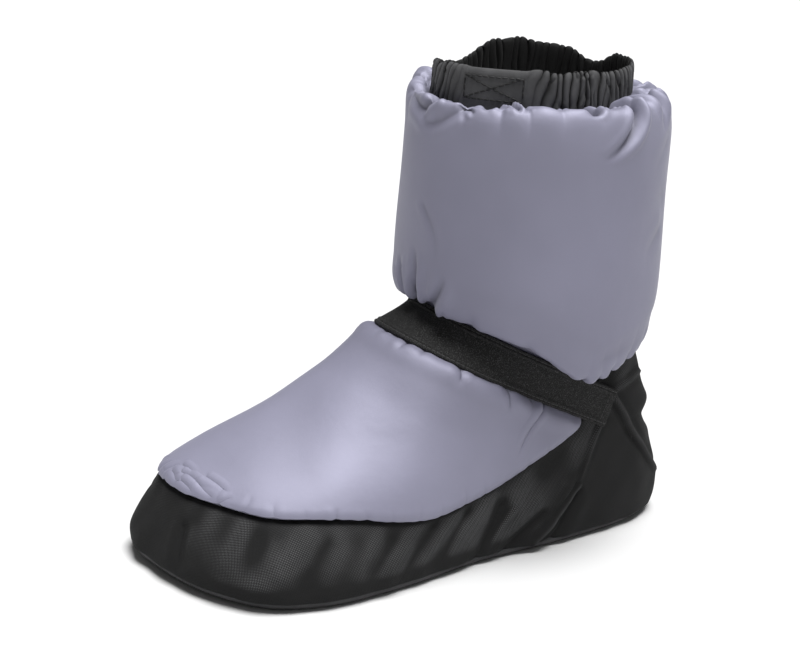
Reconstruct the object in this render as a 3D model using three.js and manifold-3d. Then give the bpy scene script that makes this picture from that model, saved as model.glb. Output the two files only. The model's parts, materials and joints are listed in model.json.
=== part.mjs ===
// Dance warm-up bootie for the left foot: a padded satin upper with a puffy shaft, a woven rand that
// rises into the heel counter, a ruched collar, an elastic instep strap, a flat sole and an insole.
// Frame in millimetres: +X to the toe, +Y to the wearer's left (outer side), +Z up, floor at z = 0,
// origin at the middle of the foot's length.
import * as THREE from "three";
import { mergeVertices } from "three/addons/utils/BufferGeometryUtils.js";
import Module from "manifold-3d";

const wasm = await Module();
wasm.setup();

// Foot
const FOOT_LENGTH = 287.5; // heel to toe over the rand
const BALL_WIDTH = 118.5; // across the rand at the ball
const INSTEP_HEIGHT = 122; // top of the foot part at the ankle opening
const BELLY_HEIGHT = 10; // height of the rand's widest line above the sole's underside
const TUCK = 4; // how far the foot part draws in from its widest line to the floor
const TOE_SPRING = 2.5; // lift of the sole's tip
const FOOT_WALL = 6.5; // padded wall of vamp and quarters
const RAND_WALL = 1.8; // woven fabric of rand and counter
const SOLE_THICKNESS = 5;
const INSOLE_THICKNESS = 4.5;

// Shaft
const SHAFT_LENGTH = 134.5; // front to back
const SHAFT_WIDTH = 130;
const SHAFT_HEIGHT = 231.5; // floor to the top of the puffy shoulder
const SHAFT_WALL = 8.5; // padded wall
const SHAFT_SETBACK = 54.5; // from the middle of the foot back to the shaft's centre line
const HEM_ROLL = 25; // height of the round lower edge
const SHOULDER_ROLL = 28; // height of the round upper edge

// Collar
const CUFF_LENGTH = 102;
const CUFF_WIDTH = 88;
const CUFF_SHIFT = 5; // collar's centre in front of the shaft's
const CUFF_WALL = 3.5;
const CUFF_RISE = 10; // rim above the shoulder
const CUFF_DEPTH = 16; // lower edge below the shoulder
const GATHER_DEPTH = 1.6; // height of one gather
const GATHERS = 32;
const SEAM_RISE = 0.3; // share of the collar's height up to where the shoulder holds it flat
const FREE_RISE = 0.8; // share of its height from where the gathers are full

// Instep strap
const STRAP_WIDTH = 20;
const STRAP_THICKNESS = 2;
const STRAP_SLOPE = 24.5; // degrees, rising to the toe
const STRAP_END = 0.213; // where its ends are sewn, share of the foot's length
const STRAP_END_HEIGHT = 0.508; // lower corner of its ends, share of the instep height

const GAP = 0.3; // clearance between pieces that meet
const WELD = 0.01; // corners nearer than this are one

// Sections of the foot part from heel to toe. station: share of the foot's length; outer, inner and
// ridge: shares of the ball width, + to the outer side; top: share of the instep height; square: 2 is
// an ellipse, more is boxier.
const FOOT_SECTIONS = [
  { station: 0.0, outer: 0.04, inner: -0.035, ridge: 0, top: 0.13, square: 2.3 },
  { station: 0.018, outer: 0.135, inner: -0.11, ridge: 0, top: 0.225, square: 2.4 },
  { station: 0.036, outer: 0.19, inner: -0.165, ridge: 0, top: 0.37, square: 2.4 },
  { station: 0.06, outer: 0.228, inner: -0.205, ridge: 0, top: 0.56, square: 2.5 },
  { station: 0.085, outer: 0.257, inner: -0.237, ridge: 0, top: 0.735, square: 2.7 },
  { station: 0.119, outer: 0.284, inner: -0.27, ridge: 0, top: 0.92, square: 3.0 },
  { station: 0.188, outer: 0.318, inner: -0.31, ridge: 0, top: 1.08, square: 3.8 },
  { station: 0.297, outer: 0.354, inner: -0.329, ridge: -0.01, top: 1.15, square: 4.0 },
  { station: 0.435, outer: 0.382, inner: -0.342, ridge: -0.03, top: 1.08, square: 3.2 },
  { station: 0.509, outer: 0.415, inner: -0.372, ridge: -0.05, top: 0.975, square: 2.6 },
  { station: 0.578, outer: 0.456, inner: -0.41, ridge: -0.07, top: 0.893, square: 2.25 },
  { station: 0.682, outer: 0.498, inner: -0.468, ridge: -0.1, top: 0.727, square: 2.0 },
  { station: 0.771, outer: 0.511, inner: -0.488, ridge: -0.12, top: 0.595, square: 2.0 },
  { station: 0.863, outer: 0.46, inner: -0.479, ridge: -0.135, top: 0.498, square: 2.0 },
  { station: 0.918, outer: 0.346, inner: -0.447, ridge: -0.15, top: 0.436, square: 2.1 },
  { station: 0.954, outer: 0.215, inner: -0.409, ridge: -0.165, top: 0.383, square: 2.2 },
  { station: 0.979, outer: 0.06, inner: -0.354, ridge: -0.175, top: 0.31, square: 2.2 },
  { station: 0.992, outer: -0.085, inner: -0.292, ridge: -0.185, top: 0.22, square: 2.2 },
  { station: 1.0, outer: -0.165, inner: -0.21, ridge: -0.187, top: 0.145, square: 2.2 },
];

// Upper edge of the rand and counter in the side view: shares of the foot's length and instep height.
const RAND_LINE = [
  { station: 1.0, rise: 0.365 },
  { station: 0.919, rise: 0.372 },
  { station: 0.84, rise: 0.352 },
  { station: 0.732, rise: 0.338 },
  { station: 0.653, rise: 0.308 },
  { station: 0.583, rise: 0.292 },
  { station: 0.511, rise: 0.312 },
  { station: 0.44, rise: 0.352 },
  { station: 0.366, rise: 0.426 },
  { station: 0.292, rise: 0.508 },
  { station: 0.257, rise: 0.574 },
  { station: 0.228, rise: 0.72 },
  { station: 0.178, rise: 0.84 },
  { station: 0.0, rise: 0.86 },
];

// Height of the shaft's lower edge round the ankle, turn in degrees from the front: share of the
// instep height.
const HEM_LINE = [
  { turn: 0, height: 1.05 },
  { turn: 35, height: 0.995 },
  { turn: 65, height: 0.915 },
  { turn: 90, height: 0.785 },
  { turn: 115, height: 0.825 },
  { turn: 150, height: 0.877 },
  { turn: 180, height: 0.885 },
];

// Rings of the shaft's round lower edge. rise: share of HEM_ROLL above the hem line; front, back and
// side: shares of the shaft's half length and half width.
const HEM_RINGS = [
  { rise: -0.56, front: 0.7, back: 0.72, side: 0.57 },
  { rise: 0.12, front: 0.8, back: 0.8, side: 0.62 },
  { rise: 0.0, front: 0.93, back: 0.88, side: 0.87 },
  { rise: 0.2, front: 0.985, back: 0.93, side: 0.945 },
  { rise: 0.64, front: 1.0, back: 0.965, side: 0.98 },
  { rise: 1.2, front: 1.0, back: 1.0, side: 1.0 },
];

// Rings of the puffy shoulder. drop: share of SHOULDER_ROLL below the top; spread: share of the way
// from the collar's outline to the shaft's.
const SHOULDER_RINGS = [
  { drop: 1.7, spread: 1.0 },
  { drop: 1.0, spread: 0.995 },
  { drop: 0.6, spread: 0.965 },
  { drop: 0.3, spread: 0.88 },
  { drop: 0.1, spread: 0.74 },
  { drop: 0.0, spread: 0.54 },
  { drop: 0.04, spread: 0.32 },
  { drop: 0.14, spread: 0.12 },
  { drop: 0.24, spread: -0.06 },
];

// Height of the collar's rim round its turn: share of CUFF_RISE. ruched: 1 where it is gathered, 0 on
// the flat patch with the cross stitch.
const RIM_LINE = [
  { turn: 0, height: 1.0, ruched: 1 },
  { turn: 20, height: 1.1, ruched: 0.1 },
  { turn: 55, height: 1.15, ruched: 0.1 },
  { turn: 75, height: 1.05, ruched: 1 },
  { turn: 130, height: 1.1, ruched: 1 },
  { turn: 175, height: 1.3, ruched: 1 },
  { turn: 200, height: 0.75, ruched: 1 },
  { turn: 225, height: 1.35, ruched: 1 },
  { turn: 265, height: 1.5, ruched: 1 },
  { turn: 292, height: 0.5, ruched: 1 },
  { turn: 330, height: 0.85, ruched: 1 },
  { turn: 360, height: 1.0, ruched: 1 },
];

// Outline of the collar's wall: out: share of the wall outwards from its inner face; rise: share of
// the way from lower edge to rim.
const CUFF_PROFILE = [
  { out: 0.0, rise: 0.1 },
  { out: 0.0, rise: 0.85 },
  { out: 0.3, rise: 0.98 },
  { out: 0.75, rise: 1.0 },
  { out: 1.05, rise: 0.88 },
  { out: 1.0, rise: 0.5 },
  { out: 1.0, rise: 0.06 },
  { out: 0.35, rise: 0.0 },
];

const BALL_STATION = 0.75; // share of the foot's length where the sole starts to lift
const LEAST_REACH = 1.4; // smallest half width of an end section
const TUCK_LIMIT = 0.6; // most of a narrow section's half width that its tuck may take

const TOP_STEPS = 16; // points over the top of a foot section
const TUCK_STEPS = 2; // points down each side to the floor
const SECTION_STEPS = 2; // sections made from one table row to the next
const SHAFT_TURN_STEPS = 36;
const CUFF_STEPS_PER_GATHER = 3;
const WIDE = 4 * BALL_WIDTH; // reach of cutters past the bootie
const TALL = 2 * SHAFT_HEIGHT;

const radians = THREE.MathUtils.degToRad;
const footX = (station) => (station - 0.5) * FOOT_LENGTH;
const shaftX = -SHAFT_SETBACK;
const cuffX = shaftX + CUFF_SHIFT;

// A smooth value between table rows, on a Catmull-Rom curve through the column against its key.
function along(rows, key, column, value) {
  const last = rows.length - 1;
  const step = rows[last][key] > rows[0][key] ? 1 : -1;
  let i = 0;
  while (i < last - 1 && (value - rows[i + 1][key]) * step > 0) i += 1;
  const [a, b] = [rows[i], rows[i + 1]];
  const before = rows[Math.max(i - 1, 0)];
  const after = rows[Math.min(i + 2, last)];
  const span = b[key] - a[key];
  const t = THREE.MathUtils.clamp((value - a[key]) / span, 0, 1);
  const slopeA = ((b[column] - before[column]) / (b[key] - before[key])) * span;
  const slopeB = ((after[column] - a[column]) / (after[key] - a[key])) * span;
  const h00 = 2 * t ** 3 - 3 * t ** 2 + 1;
  const h10 = t ** 3 - 2 * t ** 2 + t;
  const h01 = 3 * t ** 2 - 2 * t ** 3;
  const h11 = t ** 3 - t ** 2;
  return h00 * a[column] + h10 * slopeA + h01 * b[column] + h11 * slopeB;
}

// Table rows made finer: a Catmull-Rom curve runs through all the columns at once.
function refine(rows, steps) {
  const curves = {};
  for (const column of Object.keys(rows[0])) {
    const at = (i) => rows[THREE.MathUtils.clamp(i, 0, rows.length - 1)][column];
    curves[column] = (i, t) => {
      const [a, b, c, d] = [at(i - 1), at(i), at(i + 1), at(i + 2)];
      const curve = 2 * b + (c - a) * t + (2 * a - 5 * b + 4 * c - d) * t ** 2 + (3 * b - a - 3 * c + d) * t ** 3;
      return curve / 2;
    };
  }
  const fine = [];
  for (let i = 0; i < rows.length - 1; i += 1) {
    for (let s = 0; s < steps; s += 1) {
      const row = {};
      for (const [column, curve] of Object.entries(curves)) row[column] = curve(i, s / steps);
      fine.push(row);
    }
  }
  fine.push({ ...rows[rows.length - 1] });
  return fine;
}

// A closed body from a list of rings with the same number of points, with a fan over each end.
function loft(rings, closed = false) {
  const count = rings[0].length;
  const points = rings.flat();
  const faces = [];
  const quad = (a, b, c, d) => faces.push(a, b, c, a, c, d);
  const lastRing = closed ? rings.length : rings.length - 1;
  for (let r = 0; r < lastRing; r += 1) {
    const here = r * count;
    const next = ((r + 1) % rings.length) * count;
    for (let i = 0; i < count; i += 1) {
      const j = (i + 1) % count;
      quad(here + i, here + j, next + j, next + i);
    }
  }
  if (!closed) {
    const centre = (ring) => ring.reduce((sum, p) => sum.add(p), new THREE.Vector3()).divideScalar(count);
    const first = points.push(centre(rings[0])) - 1;
    const end = points.push(centre(rings[rings.length - 1])) - 1;
    const endStart = (rings.length - 1) * count;
    for (let i = 0; i < count; i += 1) {
      const j = (i + 1) % count;
      faces.push(first, j, i, end, endStart + i, endStart + j);
    }
  }
  const geometry = new THREE.BufferGeometry().setFromPoints(points);
  geometry.setIndex(faces);
  return geometry;
}

// A closed geometry as a solid that can be joined and cut.
function solid(geometry) {
  const plain = geometry.clone();
  plain.deleteAttribute("normal");
  plain.deleteAttribute("uv");
  const merged = mergeVertices(plain, 1e-4);
  return new wasm.Manifold(
    new wasm.Mesh({
      numProp: 3,
      vertProperties: new Float32Array(merged.attributes.position.array),
      triVerts: new Uint32Array(merged.index.array),
    }),
  );
}

// A side-view outline of [x, z] points, run across the whole bootie.
function acrossPrism(outline) {
  const shape = new THREE.Shape(outline.map(([x, z]) => new THREE.Vector2(x, z)));
  const geometry = new THREE.ExtrudeGeometry(shape, { depth: WIDE, bevelEnabled: false });
  geometry.rotateX(Math.PI / 2);
  geometry.translate(0, WIDE / 2, 0);
  return solid(geometry);
}

// Lift of the sole's underside, which rises from the ball to the toe.
function springAt(x) {
  const start = footX(BALL_STATION);
  return TOE_SPRING * (Math.max(x - start, 0) / (FOOT_LENGTH / 2 - start)) ** 2;
}

// Foot part, drawn in by inset all round (outwards where inset is negative). Its floor stays in place.
function footForm(inset) {
  const rings = refine(FOOT_SECTIONS, SECTION_STEPS).map((row) => {
    const shrink = (FOOT_LENGTH - 2 * inset) / FOOT_LENGTH;
    const x = footX(row.station) * shrink;
    const lift = springAt(x);
    const ridge = row.ridge * BALL_WIDTH;
    const outer = Math.max(row.outer * BALL_WIDTH - ridge - inset, LEAST_REACH);
    const inner = Math.max(ridge - row.inner * BALL_WIDTH - inset, LEAST_REACH);
    const belly = lift + BELLY_HEIGHT;
    const top = Math.max(row.top * INSTEP_HEIGHT - inset, belly + LEAST_REACH);
    const end = Math.min(FOOT_LENGTH / 2 - inset - Math.abs(x), TUCK) / TUCK;
    const floor = lift + BELLY_HEIGHT * (1 - Math.sqrt(Math.max(1 - (1 - end) ** 2, 0)));
    const ring = [];
    for (let i = 0; i <= TOP_STEPS; i += 1) {
      const turn = (Math.PI * i) / TOP_STEPS;
      const side = Math.cos(turn) >= 0 ? outer : inner;
      const out = Math.sign(Math.cos(turn)) * side * Math.abs(Math.cos(turn)) ** (2 / row.square);
      ring.push(new THREE.Vector3(x, ridge + out, belly + (top - belly) * Math.sin(turn) ** (2 / row.square)));
    }
    const tucked = (reach, i) => {
      const turn = (Math.PI / 2) * (i / TUCK_STEPS);
      const drawn = Math.min(TUCK, TUCK_LIMIT * reach);
      return [reach - drawn * (1 - Math.cos(turn)), belly - (belly - floor) * Math.sin(turn)];
    };
    for (let i = 1; i <= TUCK_STEPS; i += 1) {
      const [reach, z] = tucked(inner, i);
      ring.push(new THREE.Vector3(x, ridge - reach, z));
    }
    for (let i = TUCK_STEPS; i >= 1; i -= 1) {
      const [reach, z] = tucked(outer, i);
      ring.push(new THREE.Vector3(x, ridge + reach, z));
    }
    return ring;
  });
  return solid(loft(rings));
}

// One ring round the shaft's or collar's axis: half length in front and behind, half width, height,
// and the share of a step that its points are turned by.
function ovalRing(x, front, back, side, heightAt, offset = 0) {
  const ring = [];
  for (let i = 0; i < SHAFT_TURN_STEPS; i += 1) {
    const turn = (2 * Math.PI * (i + offset)) / SHAFT_TURN_STEPS;
    const long = Math.cos(turn) >= 0 ? front : back;
    ring.push(new THREE.Vector3(x + long * Math.cos(turn), side * Math.sin(turn), heightAt(turn)));
  }
  return ring;
}

const fromFront = (turn) => 180 - Math.abs(180 - THREE.MathUtils.radToDeg(turn));
const hemHeight = (turn) => along(HEM_LINE, "turn", "height", fromFront(turn)) * INSTEP_HEIGHT;

// Puffy shaft, drawn in by inset (its lower neck stays long enough to reach into the foot part).
function shaftForm(inset) {
  const halfLong = SHAFT_LENGTH / 2 - inset;
  const halfWide = SHAFT_WIDTH / 2 - inset;
  const rings = HEM_RINGS.map((row, i) => {
    const lifted = i === 0 ? 0 : inset;
    const front = row.front * (SHAFT_LENGTH / 2) - inset;
    const back = row.back * (SHAFT_LENGTH / 2) - inset;
    const side = row.side * (SHAFT_WIDTH / 2) - inset;
    return ovalRing(shaftX, front, back, side, (turn) => hemHeight(turn) + row.rise * HEM_ROLL + lifted);
  });
  for (const row of SHOULDER_RINGS) {
    const z = SHAFT_HEIGHT - inset - row.drop * SHOULDER_ROLL;
    const between = (shaft, cuff) => cuff + (shaft - cuff) * row.spread;
    const x = shaftX + CUFF_SHIFT * (1 - row.spread);
    const long = between(halfLong, CUFF_LENGTH / 2);
    rings.push(ovalRing(x, long, long, between(halfWide, CUFF_WIDTH / 2), () => z));
  }
  return solid(loft(rings));
}

// The way through the shoulder that the collar is sewn in. Its points lie between the shoulder's.
function throatCut() {
  const long = CUFF_LENGTH / 2 + GAP;
  const wide = CUFF_WIDTH / 2 + GAP;
  const low = SHAFT_HEIGHT - SHOULDER_ROLL;
  return solid(loft([low, TALL].map((z) => ovalRing(cuffX, long, long, wide, () => z, 0.5))));
}

// Everything above the line rise millimetres over the rand's edge, or below it.
function besideRandLine(rise, above) {
  const line = refine(RAND_LINE, SECTION_STEPS).map((row) => [footX(row.station), row.rise * INSTEP_HEIGHT + rise]);
  const far = above ? TALL : -TALL;
  const [first, last] = [line[0], line[line.length - 1]];
  const ends = [[-FOOT_LENGTH, last[1]], [-FOOT_LENGTH, far], [FOOT_LENGTH, far], [FOOT_LENGTH, first[1]]];
  return acrossPrism([...line, ...ends]);
}

// The layer between two heights over the sole's underside.
function layer(low, high) {
  const steps = 12;
  const xs = [-FOOT_LENGTH, ...Array.from({ length: steps + 1 }, (_, i) => (FOOT_LENGTH * i) / steps)];
  const lower = xs.map((x) => [x, springAt(x) + low]);
  const upper = xs.map((x) => [x, springAt(x) + high]).reverse();
  return acrossPrism([...lower, ...upper]);
}

// Side view of the strap, from its sewn end on the counter to past the top of the instep.
function strapBand() {
  const slope = radians(STRAP_SLOPE);
  const corner = [footX(STRAP_END), STRAP_END_HEIGHT * INSTEP_HEIGHT];
  const at = (forward, upward) => [
    corner[0] + forward * Math.cos(slope) - upward * Math.sin(slope),
    corner[1] + forward * Math.sin(slope) + upward * Math.cos(slope),
  ];
  return acrossPrism([at(0, 0), at(FOOT_LENGTH, 0), at(FOOT_LENGTH, STRAP_WIDTH), at(0, STRAP_WIDTH)]);
}

// Collar wall, gathered round its turn.
function cuffRing() {
  const steps = GATHERS * CUFF_STEPS_PER_GATHER;
  const low = SHAFT_HEIGHT - CUFF_DEPTH;
  const rings = [];
  for (let i = 0; i < steps; i += 1) {
    const degrees = (360 * i) / steps;
    const turn = radians(degrees);
    const rim = SHAFT_HEIGHT + CUFF_RISE * along(RIM_LINE, "turn", "height", degrees);
    const ruched = along(RIM_LINE, "turn", "ruched", degrees);
    const fold = 0.5 - 0.5 * Math.cos((2 * Math.PI * i) / CUFF_STEPS_PER_GATHER);
    rings.push(
      CUFF_PROFILE.map((row) => {
        const gather = GATHER_DEPTH * fold * ruched * THREE.MathUtils.smoothstep(row.rise, SEAM_RISE, FREE_RISE);
        const inset = CUFF_WALL * (1 - row.out) + gather;
        const x = cuffX + (CUFF_LENGTH / 2 - inset) * Math.cos(turn);
        const y = (CUFF_WIDTH / 2 - inset) * Math.sin(turn);
        return new THREE.Vector3(x, y, low + (rim - low) * row.rise);
      }),
    );
  }
  return solid(loft(rings, true));
}

// A named mesh from a solid, with corners that lie closer than WELD made one.
function piece(name, body, finish) {
  const mesh = body.getMesh();
  const cut = new THREE.BufferGeometry();
  cut.setAttribute("position", new THREE.BufferAttribute(mesh.vertProperties, mesh.numProp));
  cut.setIndex(new THREE.BufferAttribute(mesh.triVerts, 1));
  const geometry = mergeVertices(cut, WELD);
  const corners = geometry.index.array;
  const kept = [];
  for (let i = 0; i < corners.length; i += 3) {
    const [a, b, c] = [corners[i], corners[i + 1], corners[i + 2]];
    if (a !== b && b !== c && c !== a) kept.push(a, b, c);
  }
  geometry.setIndex(kept);
  geometry.computeVertexNormals();
  const made = new THREE.Mesh(geometry, finish);
  made.name = name;
  return made;
}

const satin = new THREE.MeshStandardMaterial({ color: 0x9a98ae, roughness: 0.5, metalness: 0 });
const twill = new THREE.MeshStandardMaterial({ color: 0x2c2c2e, roughness: 0.85, metalness: 0 });
const elastic = new THREE.MeshStandardMaterial({ color: 0x1c1c1e, roughness: 0.8, metalness: 0 });
const charcoal = new THREE.MeshStandardMaterial({ color: 0x3a3a3e, roughness: 0.8, metalness: 0 });
const suede = new THREE.MeshStandardMaterial({ color: 0x242426, roughness: 0.9, metalness: 0 });
const foam = new THREE.MeshStandardMaterial({ color: 0x333338, roughness: 0.9, metalness: 0 });

const outside = footForm(0);
const underRand = footForm(RAND_WALL + GAP);
const cavity = footForm(RAND_WALL + GAP + FOOT_WALL);
const shaft = shaftForm(0);
const shaftCavity = shaftForm(SHAFT_WALL);

function sole() {
  return outside.intersect(layer(-TALL, SOLE_THICKNESS));
}

function insole() {
  const low = SOLE_THICKNESS + GAP;
  return footForm(RAND_WALL + FOOT_WALL + 2 * GAP).intersect(layer(low, low + INSOLE_THICKNESS));
}

function upper() {
  const vamp = outside.intersect(besideRandLine(GAP, true));
  const shell = underRand.add(vamp).add(shaft);
  const hollow = cavity.add(shaftCavity).add(throatCut());
  return shell.subtract(hollow).subtract(layer(-TALL, SOLE_THICKNESS + GAP));
}

function rand() {
  const band = outside.subtract(footForm(RAND_WALL)).intersect(besideRandLine(0, false));
  return band.subtract(layer(-TALL, SOLE_THICKNESS + GAP)).subtract(shaftForm(-GAP));
}

function instepStrap() {
  const skin = footForm(-GAP - STRAP_THICKNESS).subtract(footForm(-GAP));
  return skin.intersect(strapBand()).subtract(shaftForm(-GAP));
}

const bootie = new THREE.Group();
bootie.add(piece("sole", sole(), suede));
bootie.add(piece("insole", insole(), foam));
bootie.add(piece("upper", upper(), satin));
bootie.add(piece("rand", rand(), twill));
bootie.add(piece("cuff", cuffRing(), charcoal));
bootie.add(piece("instep_strap", instepStrap(), elastic));

export default bootie;
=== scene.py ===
import json
import math

import bpy
import numpy as np
from mathutils import Matrix, Vector

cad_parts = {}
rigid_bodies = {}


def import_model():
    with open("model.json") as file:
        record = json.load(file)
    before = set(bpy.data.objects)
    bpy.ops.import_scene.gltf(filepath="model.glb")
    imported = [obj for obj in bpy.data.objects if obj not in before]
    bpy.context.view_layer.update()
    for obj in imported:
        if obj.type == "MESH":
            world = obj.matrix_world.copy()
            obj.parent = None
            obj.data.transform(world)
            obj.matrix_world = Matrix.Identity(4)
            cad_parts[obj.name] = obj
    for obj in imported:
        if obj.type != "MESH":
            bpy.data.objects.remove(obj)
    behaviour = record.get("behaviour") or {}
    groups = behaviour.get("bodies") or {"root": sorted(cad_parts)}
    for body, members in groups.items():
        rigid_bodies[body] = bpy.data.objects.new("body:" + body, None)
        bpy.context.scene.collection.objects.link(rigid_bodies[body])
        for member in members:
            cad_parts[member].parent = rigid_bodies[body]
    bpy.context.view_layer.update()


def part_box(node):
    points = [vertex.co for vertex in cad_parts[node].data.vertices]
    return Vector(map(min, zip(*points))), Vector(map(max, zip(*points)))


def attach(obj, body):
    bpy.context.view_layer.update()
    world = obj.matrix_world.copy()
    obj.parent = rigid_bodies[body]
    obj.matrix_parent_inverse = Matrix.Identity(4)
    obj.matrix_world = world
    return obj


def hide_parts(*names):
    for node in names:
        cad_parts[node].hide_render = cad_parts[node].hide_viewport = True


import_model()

bl_info = {
    "name": "Dance warm-up bootie",
    "version": (1, 0, 0),
    "blender": (4, 5, 0),
    "location": "View3D > Sidebar > Bootie",
    "description": "Dresses the bootie's solids in satin, twill, elastic and knit",
    "category": "Object",
}

MM = 0.001
RAND_LOW, RAND_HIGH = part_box("rand")
UPPER_LOW, UPPER_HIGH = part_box("upper")
CUFF_LOW, CUFF_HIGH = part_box("cuff")

# Foot part from heel to toe. Columns: station, as a share of the foot's length; outer, inner and
# ridge, as shares of the ball width, + to the outer side; top, as a share of the instep height;
# square, where 2 is an ellipse and more is boxier.
FOOT_SECTIONS = (
    (0.0, 0.04, -0.035, 0.0, 0.13, 2.3),
    (0.018, 0.135, -0.11, 0.0, 0.225, 2.4),
    (0.036, 0.19, -0.165, 0.0, 0.37, 2.4),
    (0.06, 0.228, -0.205, 0.0, 0.56, 2.5),
    (0.085, 0.257, -0.237, 0.0, 0.735, 2.7),
    (0.119, 0.284, -0.27, 0.0, 0.92, 3.0),
    (0.188, 0.318, -0.31, 0.0, 1.08, 3.8),
    (0.297, 0.354, -0.329, -0.01, 1.15, 4.0),
    (0.435, 0.382, -0.342, -0.03, 1.08, 3.2),
    (0.509, 0.415, -0.372, -0.05, 0.975, 2.6),
    (0.578, 0.456, -0.41, -0.07, 0.893, 2.25),
    (0.682, 0.498, -0.468, -0.1, 0.727, 2.0),
    (0.771, 0.511, -0.488, -0.12, 0.595, 2.0),
    (0.863, 0.46, -0.479, -0.135, 0.498, 2.0),
    (0.918, 0.346, -0.447, -0.15, 0.436, 2.1),
    (0.954, 0.215, -0.409, -0.165, 0.383, 2.2),
    (0.979, 0.06, -0.354, -0.175, 0.31, 2.2),
    (0.992, -0.085, -0.292, -0.185, 0.22, 2.2),
    (1.0, -0.165, -0.21, -0.187, 0.145, 2.2),
)
WIDEST = 0.511 + 0.488  # outer and inner share at the ball

# Upper edge of the rand. Columns: station; rise, as a share of the instep height.
RAND_LINE = (
    (0.0, 0.86),
    (0.178, 0.84),
    (0.228, 0.72),
    (0.257, 0.574),
    (0.292, 0.508),
    (0.366, 0.426),
    (0.44, 0.352),
    (0.511, 0.312),
    (0.583, 0.292),
    (0.653, 0.308),
    (0.732, 0.338),
    (0.84, 0.352),
    (0.919, 0.372),
    (1.0, 0.365),
)

# Lower edge of the shaft. Columns: turn in degrees from the front; height, as a share of the instep.
HEM_LINE = (
    (0, 1.05),
    (35, 0.995),
    (65, 0.915),
    (90, 0.785),
    (115, 0.825),
    (150, 0.877),
    (180, 0.885),
)

# Rings of the shaft's round lower edge. Columns: rise over the hem line, as a share of the roll;
# front, back and side, as shares of the shaft's half length and half width.
HEM_RINGS = (
    (-0.56, 0.7, 0.72, 0.57),
    (0.12, 0.8, 0.8, 0.62),
    (0.0, 0.93, 0.88, 0.87),
    (0.2, 0.985, 0.93, 0.945),
    (0.64, 1.0, 0.965, 0.98),
    (1.2, 1.0, 1.0, 1.0),
)

# Rings of the puffy shoulder. Columns: drop under the top, as a share of the shoulder's roll; spread,
# as a share of the way from the collar's outline to the shaft's.
SHOULDER_RINGS = (
    (1.7, 1.0),
    (1.0, 0.995),
    (0.6, 0.965),
    (0.3, 0.88),
    (0.1, 0.74),
    (0.0, 0.54),
    (0.04, 0.32),
    (0.14, 0.12),
    (0.24, -0.06),
)

# Collar's rim. Columns: turn; height, as a share of the rise; ruched, 1 where it is gathered.
RIM_LINE = (
    (0, 1.0, 1.0),
    (20, 1.1, 0.1),
    (55, 1.15, 0.1),
    (75, 1.05, 1.0),
    (130, 1.1, 1.0),
    (175, 1.3, 1.0),
    (200, 0.75, 1.0),
    (225, 1.35, 1.0),
    (265, 1.5, 1.0),
    (292, 0.5, 1.0),
    (330, 0.85, 1.0),
    (360, 1.0, 1.0),
)

# Lean of the collar's pleats. Columns: turn in degrees; millimetres that the rim is ahead of the seam.
PLEAT_LEAN = (
    (0, 9.0),
    (14, 8.0),
    (22, 4.0),
    (54, 4.0),
    (64, 8.0),
    (76, 2.0),
    (90, -2.0),
    (104, 2.0),
    (118, -5.0),
    (135, -2.0),
    (180, 3.0),
    (225, -4.0),
    (270, 2.0),
    (310, -4.0),
    (340, 7.0),
    (360, 9.0),
)

# Dip of the shaft's top round the collar. Columns: turn in degrees, dip in millimetres.
COLLAR_DIP = (
    (-60, 0.5),
    (-45, 1.2),
    (-33, 2.8),
    (-22, 5.0),
    (-10, 7.0),
    (4, 7.5),
    (14, 8.0),
    (24, 4.5),
    (36, 5.0),
    (47, 3.2),
    (60, 1.8),
    (72, 2.2),
    (84, 4.6),
    (94, 3.6),
    (108, 2.6),
    (122, 2.2),
    (145, 1.0),
    (165, 3.5),
    (185, 1.0),
    (210, 3.0),
    (232, 0.5),
    (255, 3.5),
    (280, 0.5),
    (300, 0.5),
)

# Creases of the shaft under the collar. Columns: deepest end as turn in degrees and run
# under the collar seam, fading end likewise, sideways bow, depth, width, all in millimetres.
COLLAR_CREASES = (
    (-17, 0, -24, 18, 1.5, 1.9, 2.4),
    (10, 0, 0, 19, 2.0, 4.6, 2.4),
    (2, 18, -26, 14, -2.0, 1.5, 3.0),
    (24, 16, 0, 24, 2.0, 1.2, 2.8),
    (26, 0, 22, 9, 0.5, 1.2, 2.0),
    (42, 0, 34, 17, -1.5, 3.2, 2.2),
    (47, 6, 50, 19, 0.5, 4.6, 1.3),
    (54, 0, 52, 10, 0.5, 2.4, 1.8),
    (68, 0, 71, 13, 1.0, 2.2, 2.0),
    (85, 0, 80, 22, 3.5, 6.0, 2.3),
    (106, 0, 85, 42, 10.0, 5.2, 2.3),
    (120, 0, 117, 24, -1.5, 3.4, 2.2),
    (129, 0, 123, 34, 3.0, 4.0, 2.6),
    (133, 8, 138, 30, 1.0, 2.0, 2.2),
    (143, 0, 140, 30, -2.0, 3.4, 2.4),
    (163, 0, 166, 30, -2.0, 3.6, 2.4),
    (176, 0, 171, 24, 1.5, 3.0, 2.2),
    (192, 0, 197, 32, 2.5, 3.6, 2.4),
    (208, 0, 204, 22, -1.5, 3.0, 2.2),
    (231, 0, 236, 34, 3.0, 4.4, 2.6),
    (247, 4, 243, 22, 1.0, 2.4, 2.0),
    (262, 0, 266, 32, -2.5, 3.8, 2.4),
    (285, 0, 280, 24, 1.0, 3.2, 2.4),
    (303, 0, 307, 28, 2.0, 2.4, 3.2),
    (321, 0, 319, 20, -1.0, 1.3, 3.0),
)

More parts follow.
